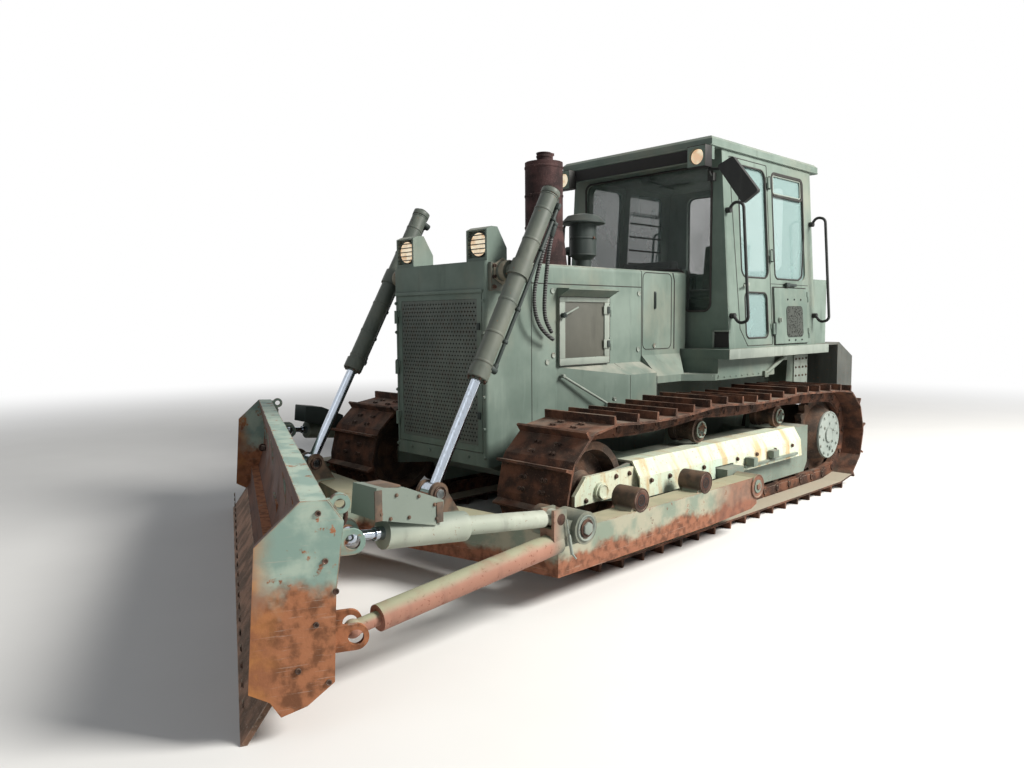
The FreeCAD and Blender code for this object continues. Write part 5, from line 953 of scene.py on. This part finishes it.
controls = [
    plate("binnacle", (-250, 2270, 1880), (250, 2400, 1960), 12), round_bar("lever", (150, 2560, 1250), (170, 2640, 1820), 11, 3, 16),
    round_bar("lever", (-150, 2560, 1250), (-170, 2640, 1820), 11, 3, 16), round_bar("lever", (420, 2900, 1250), (440, 2840, 1720), 12, 3, 16),
    round_bar("knob", (170, 2636, 1800), (172, 2648, 1860), 24, 9, 20), round_bar("knob", (-170, 2636, 1800), (-172, 2648, 1860), 24, 9, 20),
    round_bar("knob", (440, 2842, 1700), (442, 2834, 1760), 26, 9, 20), plate("pedal", (-90, 2460, 1300), (-20, 2480, 1420), 5),
    plate("pedal", (20, 2460, 1300), (90, 2480, 1420), 5), plate("console", (330, 2980, 1241), (560, 3420, 1700), 14),
    plate("console", (-560, 2980, 1241), (-330, 3420, 1700), 14),
]
dress(joined("controls", controls), black_trim)


# Mirror glass, set in the tilted back.
silver = Finish("mirror_glass", metallic=1.0)
spots = silver.between(silver.cloud(12.0, 3.0), 0.5, 0.8)
silver.feed(base_color=silver.blend((0.75, 0.79, 0.80), (0.55, 0.58, 0.58), spots), roughness=spots * 0.1 + 0.03)
bpy.ops.object.select_all(action="DESELECT")
bpy.ops.mesh.primitive_plane_add(size=1)
glass = bpy.context.object
glass.name = "mirror_glass"
MIRROR = [(868, 2612), (973, 2652), (1168, 2400), (1069, 2340)]
for vert, (x, z) in zip(glass.data.vertices, (MIRROR[0], MIRROR[1], MIRROR[3], MIRROR[2])):
    vert.co = at(x, 2041, z)
bpy.ops.object.mode_set(mode="EDIT")
bpy.ops.mesh.select_all(action="SELECT")
bpy.ops.mesh.extrude_region_move(TRANSFORM_OT_translate={"value": (0, 0.003, 0)})
bpy.ops.mesh.select_all(action="SELECT")
bpy.ops.mesh.normals_make_consistent(inside=False)
bpy.ops.mesh.bevel(offset=0.001, segments=2, affect="EDGES")
bpy.ops.object.mode_set(mode="OBJECT")
dress(glass, silver)


# Windows. Tinted safety glass in black rubber, which mirrors the sky; the side panes are paler by painted reflection.
tinted = Finish("tinted_glass", roughness=0.03, ior=1.45)
grime = tinted.between(tinted.cloud(2.4, 5.0), 0.35, 0.85)
across = tinted.node("VectorMath", {0: tinted.node("NewGeometry", out="Normal"), 1: (1, 0, 0)}, out="Value", operation="DOT_PRODUCT")
# Panes that face the machine's sides get a pale blue-green colour and more alpha: a painted reflection of the sky.
side_panes_painted_reflection = tinted.between(across * across, 0.3, 0.7)
shade = tinted.blend((0.050, 0.080, 0.070), (0.14, 0.18, 0.15), grime)
tinted.feed(base_color=tinted.blend(shade, (0.27, 0.39, 0.38), side_panes_painted_reflection), alpha=grime * 0.10 + side_panes_painted_reflection * 0.24 + 0.26)
for node in ("cab_glass", "door_glass_left", "door_glass_right"):
    coat(node, tinted)


# Window seals. Black rubber mouldings hold the panes in the walls, and a pale sliding vent with its
# own frame fills the top of each side window.
def outline_on_wall(corners, radius, out):
    return [(wall_x(z, out), y, z) for y, z in rounded(corners, radius)]


def moulding(name, points, radius, finish):
    """A closed rubber or metal moulding laid round an opening."""
    return dress(as_mesh(spline_through(name, points, radius, closed=True, kind="POLY")), finish, angle=60)


door_hole = [(2455, 1812), (2455, 2700), (2888, 2700), (2888, 1812)]
low_hole = [(2490, 1320), (2490, 1690), (2850, 1690), (2850, 1320)]
side_hole = [(3000, 1812), (3000, 2705), (3563, 2705), (3557, 2193), (3492, 1838), (3420, 1812)]
for name, hole, radius, body in (
    ("door_window_seal", door_hole, 70, "cab_door_"), ("door_low_seal", low_hole, 50, "cab_door_"),
    ("side_window_seal", side_hole, 50, None),
):
    seal = moulding(name + "_left", outline_on_wall(hole, radius, 0), 7.0, seam_rubber)
    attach(seal, body + "left" if body else "machine")
    both_sides(seal, bodies=body + "right" if body else None)
vent_hole = [(3010, 2512), (3010, 2694), (3550, 2694), (3550, 2512)]
vent = moulding("vent_frame_left", outline_on_wall(vent_hole, 40, -4), 9.0, seam_rubber)
both_sides(vent)
slider = [(3032, 2532), (3032, 2682), (3530, 2682), (3530, 2532)]
both_sides(moulding("vent_pane_frame_left", outline_on_wall(slider, 20, -8), 6.0, pale_trim))
screen = [(-620, 1541), (-620, 2680), (670, 2680), (670, 1541), (425, 1541), (425, 1880), (-425, 1880), (-425, 1541)]
moulding("windscreen_seal", [(x, 2222, z) for x, z in rounded(screen, 60)], 9.0, seam_rubber)
points = [(x, 3721, z) for x, z in rounded([(-520, 1920), (-520, 2700), (520, 2700), (520, 1920)], 70)]
moulding("rear_window_seal", points, 12.0, seam_rubber)
wiper = [
    round_bar("wiper_arm", (52, 2206, 2640), (330, 2203, 2530), 5, 1.5, 12), plate("wiper_motor", (10, 2196, 2620), (94, 2224, 2670), 6),
    plate("wiper_blade", (180, 2206, 2560), (480, 2214, 2572), 2),
]
dress(joined("wiper", wiper), black_green)
bars = [round_bar("bar", (-wall_x(z, -52), 3010, z), (-wall_x(z, -52), 3545, z), 9, 2, 12) for z in (1900, 2030, 2160, 2290, 2420)]
dress(joined("far_window_bars", bars), black_trim)


# Lamps. Round headlamps sunk in the boxes on the radiator guard behind a grid of five bars, and
# square black work lamps under the roof's front edge.
lens = Finish("lamp_lens", roughness=0.15, coat_weight=1.0, emission_strength=0.55)
flutes = lens.node("TexWave", {"Vector": lens.place, "Scale": 22.0}, out=1, bands_direction="X")
warm = lens.blend((0.78, 0.52, 0.30), (1.0, 0.86, 0.62), lens.between(lens.cloud(9.0, 2.0), 0.35, 0.6))
lens.feed(base_color=warm, emission_color=warm, normal=lens.relief(flutes, 0.002, 0.6))
lamp_black = old_paint("lamp_black", (0.012, 0.012, 0.012), (0.03, 0.03, 0.028), (0.08, 0.06, 0.045), 0.74, 0.2, 0.2)
bezels, lenses, grids = [], [], []
for side in (-1, 1):
    x = side * 372
    lenses.append(round_bar("lens", (x, 50, 1950), (x, 36, 1950), 72, 4, 40, 4.0))
    bezels.append(round_bar("bezel", (x, 50, 1950), (x, 42, 1950), 79, 3, 40))
    for z in (1894, 1922, 1950, 1978, 2006):
        grids.append(round_bar("rod", (x - 82, 26, z), (x + 82, 26, z), 3.2, 1.0, 10))
    x = side * 683
    lenses.append(round_bar("lens", (x, 2010, 2707), (x, 1996, 2707), 57, 4, 40, 4.0))
    bezels.append(round_bar("foot", (x, 2030, 2783), (x, 2030, 2789), 30, 2, 20))
    bezels.append(plate("visor", (x - 78, 1974, 2784), (x + 78, 2062, 2788), 1.5))
dress(joined("lamp_lenses", lenses), lens)
dress(joined("lamp_bezels", bezels), lamp_black)
dress(joined("lamp_grids", grids), black_green)
for side in (-1, 1):
    shell = []
    x = side * 683
    for low, high in (
        ((x - 78, 1976, 2783.3), (x + 78, 2069, 2786)), ((x - 78, 1976, 2628), (x + 78, 2069, 2630.7)),
        ((x - 79, 1976, 2629), (x - 76.3, 2069, 2785)), ((x + 76.3, 1976, 2629), (x + 79, 2069, 2785)),
    ):
        shell.append(plate("shell", low, high, 0.8))
    dress(joined("lamp_shell_" + ("left" if side > 0 else "right"), shell), lamp_black)


# Blade, its push frame, struts and cylinders. Worn steel: teal and cream paint gone to rust
# where earth and stones have rubbed it, with chromed rods.
def rubbed_steel(name, paint, pale, rust, low, high, rest=0.46):
    """Paint above a height that has worn to orange rust below it."""
    finish = Finish(name, metallic=0.0, specular_ior_level=0.25)
    wander = finish.cloud(2.6, 5.0, rough=0.65)
    tone = finish.blend(paint, pale, finish.between(finish.cloud(6.0, 5.0, shift=3.0), 0.42, 0.62))
    below = finish.between(finish.height(low, high) * 0.62 + wander * 0.8, rest + 0.22, rest + 0.36)
    patch = finish.between(finish.cloud(11.0, 5.0, rough=0.7, shift=6.0), 0.60, 0.66)
    rough = finish.blend(rust, tuple(c * 0.45 for c in rust), finish.between(finish.cloud(20.0, 5.0), 0.40, 0.66))
    worn = finish.rim(0.012) * finish.between(finish.cloud(12.0, 4.0, shift=5.0), 0.36, 0.56)
    bare = finish.node("Math", {0: below, 1: patch}, operation="MAXIMUM")
    bare = finish.node("Math", {0: bare, 1: worn}, operation="MAXIMUM")
    scratch = finish.between(finish.cloud(5.0, 5.0, (1, 1, 26), 0.7, 8.0), 0.60, 0.66)
    tone = finish.blend(tone, rough, bare)
    tone = finish.blend(tone, (0.42, 0.36, 0.30), scratch * 0.35)
    finish.feed(base_color=tone, roughness=0.6 + bare * 0.22)
    finish.feed(normal=finish.relief(finish.cloud(70.0, 4.0) * (bare + 0.25) - bare * 0.4, 0.0012, 0.8))
    return finish


TEAL = (0.20, 0.29, 0.25)
blade_steel = rubbed_steel("blade_steel", TEAL, (0.34, 0.42, 0.35), (0.33, 0.135, 0.065), 0.15, 0.9)
edge_steel = rusty_steel("edge_steel", (0.11, 0.075, 0.055), (0.24, 0.14, 0.095), (0.42, 0.36, 0.31), 0.6)
arm_steel = rubbed_steel("arm_steel", (0.185, 0.225, 0.175), (0.31, 0.30, 0.225), (0.25, 0.105, 0.06), 0.12, 0.46)
strut_steel = old_paint("strut_steel", (0.27, 0.135, 0.095), (0.33, 0.165, 0.115), (0.20, 0.075, 0.05), 0.60, 0.3, 0.0, gloss=0.6)
upper = strut_steel.facing_up(0.30, 0.92) * strut_steel.between(strut_steel.cloud(7.0, 5.0), 0.25, 0.60)
rubbed = Tone(strut_steel, strut_steel.shader.inputs["Base Color"].links[0].from_socket)
tube = strut_steel.blend(rubbed, (0.30, 0.32, 0.22), upper * 0.9)
rearward = strut_steel.between(strut_steel.node("SeparateXYZ", {0: strut_steel.place}, out=1), -1.86, -1.74)
cast = strut_steel.blend((0.115, 0.13, 0.105), (0.22, 0.215, 0.165), strut_steel.between(strut_steel.cloud(8.0, 5.0), 0.38, 0.66))
strut_steel.feed(base_color=strut_steel.blend(tube, cast, rearward))
tube_cream = old_paint("tube_cream", (0.28, 0.31, 0.255), (0.38, 0.405, 0.34), RUST, 0.64, 0.5, 0.2)
above = 1 - tube_cream.height(0.60, 0.66)
cream = Tone(tube_cream, tube_cream.shader.inputs["Base Color"].links[0].from_socket)
box_green = tube_cream.blend((0.135, 0.165, 0.14), (0.20, 0.235, 0.20), tube_cream.cloud(3.0, 5.0))
tube_cream.feed(base_color=tube_cream.blend(cream, box_green, above))
barrel_green = old_paint("barrel_green", (0.070, 0.085, 0.074), (0.135, 0.145, 0.118), RUST, 0.66, 0.35, 0.3, gloss=0.45)
# Faces that look forward are dark brown: rust on the moldboard's front, darkened further as painted shade.
front = blade_steel.node("VectorMath", {0: blade_steel.node("NewGeometry", out="Normal"), 1: (-0.40674, -0.91355, 0.0)},
                         out="Value", operation="DOT_PRODUCT")
steel = Tone(blade_steel, blade_steel.shader.inputs["Base Color"].links[0].from_socket)
front_rust_and_shade = blade_steel.blend((0.105, 0.046, 0.028), (0.055, 0.026, 0.018), blade_steel.between(blade_steel.cloud(4.0, 5.0), 0.35, 0.65))
depth = blade_steel.node("VectorMath", {0: blade_steel.place, 1: (0.40674, 0.91355, 0.0)}, out="Value", operation="DOT_PRODUCT")
leading = 1 - blade_steel.between(depth + blade_steel.cloud(5.0, 5.0, shift=2.0) * 0.16, -2.30, -2.19)
orange = blade_steel.blend((0.24, 0.095, 0.045), (0.40, 0.17, 0.055), blade_steel.between(blade_steel.cloud(9.0, 5.0), 0.4, 0.65))
steel = blade_steel.blend(steel, orange, leading * 0.9)
blade_steel.feed(base_color=blade_steel.blend(steel, front_rust_and_shade, blade_steel.between(front, 0.25, 0.55)))
coat("blade", blade_steel)
coat("cutting_edge", edge_steel)
along = arm_steel.node("SeparateXYZ", {0: arm_steel.place}, out=1)
rearward = arm_steel.between(along + arm_steel.cloud(3.0, 5.0, shift=4.0) * 0.7, 0.05, 0.40)
steel = Tone(arm_steel, arm_steel.shader.inputs["Base Color"].links[0].from_socket)
reddish = arm_steel.blend((0.22, 0.095, 0.06), (0.13, 0.06, 0.042), arm_steel.between(arm_steel.cloud(12.0, 5.0), 0.4, 0.65))
steel = arm_steel.blend(steel, reddish, rearward * (1 - arm_steel.facing_up(0.4, 0.8)) * 0.85)
steel = arm_steel.blend(steel, (0.38, 0.34, 0.22), arm_steel.facing_up(0.5, 0.9) * 0.6)
raised = 1 - arm_steel.height(0.404, 0.424)
brown = arm_steel.blend((0.05, 0.032, 0.025), (0.13, 0.075, 0.05), arm_steel.between(arm_steel.cloud(14.0, 5.0), 0.38, 0.66))
arm_steel.feed(base_color=arm_steel.blend(steel, brown, raised * 0.9))
coat("push_frame", arm_steel)
chrome = Finish("chrome", metallic=1.0)
smear = chrome.between(chrome.cloud(14.0, 4.0, (6, 6, 1)), 0.45, 0.75)
# The chrome's blue tint is a painted reflection of the sky.
chrome.feed(base_color=chrome.blend((0.44, 0.49, 0.56), (0.34, 0.37, 0.40), smear), roughness=smear * 0.12 + 0.14)
for side in ("left", "right"):
    coat("strut_" + side, strut_steel)
    coat("tilt_cylinder_" + side, tube_cream)
    coat("lift_barrel_" + side, barrel_green)
    coat("tilt_rod_" + side, chrome)
    coat("lift_rod_" + side, chrome)
coat("lift_yokes", barrel_green)


# Lift cylinders' fittings. A welded cap with the hose ports, a hard pipe behind the barrel in two
# clamps, a gland ring with a wiper, and a pale sleeve on the trunnion in its bolted yoke.
TRUNNION = Vector((660, 116, 1781))
RUN = Vector((0, -0.4872, -0.8733))
BACK = Vector((0, 0.8733, -0.4872))


def on_ram(along, back=0.0, across=0.0):
    """A point at a distance down the left lift cylinder, behind it and beside it."""
    return TRUNNION + RUN * along + BACK * back + Vector((across, 0, 0))


caps = [
    round_bar("cap", on_ram(-572), on_ram(-536), 61, 5, 36, 4.0), round_bar("crown", on_ram(-590), on_ram(-566), 34, 4, 24),
    round_bar("weld", on_ram(-532), on_ram(-524), 59.5, 2, 36), round_bar("gland", on_ram(690), on_ram(733), 64, 4, 36),
    round_bar("ring", on_ram(664), on_ram(674), 60, 2, 36), round_bar("wiper", on_ram(730), on_ram(744), 44, 3, 32),
]
for along in (-430, -210, 210, 430, 620):
    caps.append(round_bar("strap", on_ram(along), on_ram(along + 16), 59.5, 2, 36))
pipes = [
    round_bar("pipe", on_ram(-500, 78, 24), on_ram(640, 78, 24), 12, 3, 16),
    round_bar("port", on_ram(640, 40, 24), on_ram(640, 92, 24), 20, 3, 20), round_bar("port", on_ram(-500, 40, -10), on_ram(-500, 96, -10), 24, 3, 20),
    round_bar("union", on_ram(-524, 78, 24), on_ram(-484, 78, 24), 19, 2, 6), round_bar("union", on_ram(600, 78, 24), on_ram(640, 78, 24), 18, 2, 6),
]
for along in (-420, -200, 220, 440):
    pipes.append(round_bar("clamp", on_ram(along, 78, 24), on_ram(along + 20, 78, 24), 18, 3, 16))
    pipes.append(round_bar("lug", on_ram(along + 10, 50, 12), on_ram(along + 10, 84, 20), 9, 2, 12))
both_sides(dress(joined("ram_caps_left", caps), barrel_green, "lift_barrel_left"),
           bodies="lift_barrel_right")
both_sides(dress(joined("ram_pipes_left", pipes), black_green, "lift_barrel_left"),
           bodies="lift_barrel_right")
elbows = [
    round_bar("elbow", (650, 456, 2230), on_ram(-556, 44, -10), 19, 3, 20),
    round_bar("ferrule", (650, 452, 2236), (641, 436, 2160), 18, 3, 20),
    round_bar("ferrule", (620, 468, 2079), (611, 443, 2005), 18, 3, 20),
    round_bar("nut", (620, 466, 2074), (622, 474, 2094), 22, 3, 6),
    round_bar("bend", (621, 470, 2088), on_ram(-430, 50, -30), 15, 3, 16),
    round_bar("boss", on_ram(-430, 40, -24), on_ram(-430, 62, -30), 22, 3, 6),
]
dress(joined("hose_unions", elbows), black_green, "lift_barrel_left")
gland_spots = []
for i in range(8):
    a = math.radians(45 * i + 22)
    spot = on_ram(734, 53 * math.cos(a), 53 * math.sin(a))
    gland_spots.append((spot, tuple(RUN)))
both_sides(bolt_heads("gland_bolts_left", gland_spots, 15, 7, bolt_rust, "lift_barrel_left"),
           bodies="lift_barrel_right")
sleeve = round_bar("trunnion_sleeve_left", (534, 116, 1781), (576, 116, 1781), 66, 4, 36)
nut = round_bar("nut", (499, 116, 1781), (512, 116, 1781), 84, 4, 6)
earth_paint = old_paint("earth_paint", (0.17, 0.155, 0.115), (0.25, 0.225, 0.17), RUST, 0.62, 0.5, 0.3)
both_sides(dress(joined("trunnion_sleeve_left", [sleeve, nut]), earth_paint))
yoke_spots = [((499, y, z), (1, 0, 0)) for y in (50, 222) for z in (1684, 1748, 1814)]
both_sides(bolt_heads("yoke_bolts_left", yoke_spots, 24, 12, bolt_rust))


# Struts' and push arms' fittings. A ring and a capped pin in the arm's socket, spare sockets lined
# with rust, a bolted cover over the left tilt cylinder, and a shackle left hanging on its lug.
HUB_X = 1505.0
clevis_caps = [
    round_bar("clevis_cap", (725, -582, 530), (736, -582, 530), 42, 3, 28, 5.0), round_bar("clevis_cap", (584, -582, 530), (595, -582, 530), 42, 3, 28, 5.0),
]
both_sides(dress(joined("clevis_caps_left", clevis_caps), bolt_rust, "push_frame"), bodies="push_frame")
hubs = [round_bar("hub_cap", (1576, -345, 455), (1588, -345, 455), 66, 4, 36, 6.0), round_bar("hub_nut", (1580, -345, 455), (1600, -345, 455), 34, 4, 6)]
both_sides(dress(joined("hub_caps_left", hubs), pale_trim, "strut_left"), bodies="strut_right")
both_sides(dress(round_bar("hub_rust_left", (1582, -345, 455), (1590, -345, 455), 46, 3, 28), bolt_rust, "strut_left"),
           bodies="strut_right")
rings = []
for y in (322.5, 990.0):
    rings.append(round_bar("socket_lip", (1416, y, 455), (1424, y, 455), 69, 3, 40, 5.0))
both_sides(dress(joined("socket_lips_left", rings), bolt_rust, "push_frame"), bodies="push_frame")
bores = [round_bar("bore", (1409, y, 455), (1421.5, y, 455), 43, 2, 32, 6.0) for y in (322.5, 990.0)]
red_rust = rusty_steel("red_rust", (0.045, 0.016, 0.012), (0.11, 0.036, 0.024), (0.17, 0.08, 0.06), 0.1)
both_sides(dress(joined("socket_bores_left", bores), red_rust, "push_frame"), bodies="push_frame")
# The black discs deep in the sockets' bores are painted shade.
holes = [round_bar("hole", (1412, y, 455), (1422.5, y, 455), 35, 1, 32, 7.0) for y in (322.5, 990.0)]
both_sides(dress(joined("socket_holes_left", holes), painted_shade_black, "push_frame"), bodies="push_frame")
clevis_pin = [
    round_bar("clevis_pin", (1468, -495, 520), (1542, -495, 520), 20, 3, 20, 3.0), round_bar("keeper", (1540, -495, 520), (1552, -495, 520), 30, 3, 24),
]
both_sides(dress(joined("clevis_pins_left", clevis_pin), bolt_rust, "strut_left"), bodies="strut_right")
cover_spots = [((1531, y, z), (1, 0, 0)) for y, z in ((-1515, 726), (-1440, 790), (-1330, 768), (-1250, 720), (-1240, 660), (-1380, 690), (-1470, 700))]
hanging = [
    round_bar("hanging_pin", (1566, -455, 440), (1572, -440, 340), 8, 2, 14), round_bar("clip", (1572, -440, 345), (1590, -430, 320), 5, 1.5, 10),
    round_bar("chain", (1562, -470, 520), (1566, -455, 436), 4, 1, 8),
]
dress(joined("hanging_pin_left", hanging), pale_trim, "strut_left")
bolt_heads("cover_box_bolts", cover_spots, 13, 5, arm_steel, "strut_left")
# A cover box over the right tilt cylinder, like the left one; its near-black paint is painted shade.
bpy.ops.object.select_all(action="DESELECT")
bpy.ops.mesh.primitive_circle_add(vertices=6, radius=1, fill_type="NGON")
far_box_painted_shade = bpy.context.object
far_box_painted_shade.name = "cover_box_right"
FAR_BOX = [(-232, 708), (-219, 832), (-77, 812), (113, 731), (110, 686), (74, 630)]
for vert, (y, z) in zip(far_box_painted_shade.data.vertices, FAR_BOX):
    vert.co = at(-1530, y, z)
bpy.ops.object.mode_set(mode="EDIT")
bpy.ops.mesh.select_all(action="SELECT")
bpy.ops.mesh.extrude_region_move(TRANSFORM_OT_translate={"value": (0.168, 0, 0)})
bpy.ops.mesh.select_all(action="SELECT")
bpy.ops.mesh.normals_make_consistent(inside=False)
bpy.ops.mesh.bevel(offset=0.006, segments=2, affect="EDGES")
bpy.ops.object.mode_set(mode="OBJECT")
dress(far_box_painted_shade, black_green, "strut_right")
flange = [
    plate("box_flange", (1530, -1545, 700), (1535, -1510, 822), 1.5), plate("box_flange", (1530, -1240, 640), (1535, -1206, 726), 1.5),
    plate("box_pad", (1372, -1500, 818), (1520, -1410, 826), 2),
]
dress(joined("cover_box_flanges", flange), arm_steel, "strut_left")
pivot = [round_bar("pivot_cap", (1418, 1630, 335), (1432, 1630, 335), 82, 4, 36, 6.0), round_bar("pivot_plug", (1428, 1630, 335), (1440, 1630, 335), 26, 3, 6)]
both_sides(dress(joined("pivot_caps_left", pivot), arm_steel, "push_frame"), bodies="push_frame")


# Blade's fittings. Countersunk plough bolts hold the cutting edge, and a shackle hangs in the lifting
# eye at the near end.
def on_blade(x, back, z):
    """A point on the blade, which stands turned by 24 degrees with its left end drawn back."""
    back = back - 525.0
    return (0.91355 * x + 0.40674 * back, -870.0 - 0.40674 * x + 0.91355 * back, z)


shackle_line = [
    on_blade(1855, 362, 812), on_blade(1850, 350, 780), on_blade(1862, 376, 742), on_blade(1855, 402, 780), on_blade(1855, 392, 812),
]
shackle = as_mesh(spline_through("blade_shackle_left", shackle_line, 9.0))
dress(shackle, bolt_rust, "blade")
edge_spots = []
for i in range(22):
    x = -1800 + i * 171.4
    edge_spots.append((on_blade(x, 30, 120), (-0.40674, -0.91355, 0.0)))
bolt_heads("edge_bolts", edge_spots, 30, 6, bolt_rust, "blade")
studs = [(295, 811), (315, 638), (350, 525), (278, 412), (212, 254), (317, 196)]
pegs = [round_bar("stud", on_blade(1899, back, z), on_blade(1907, back, z), 11, 2, 14, 2.0) for back, z in studs]
dress(joined("blade_studs", pegs), bolt_rust, "blade")
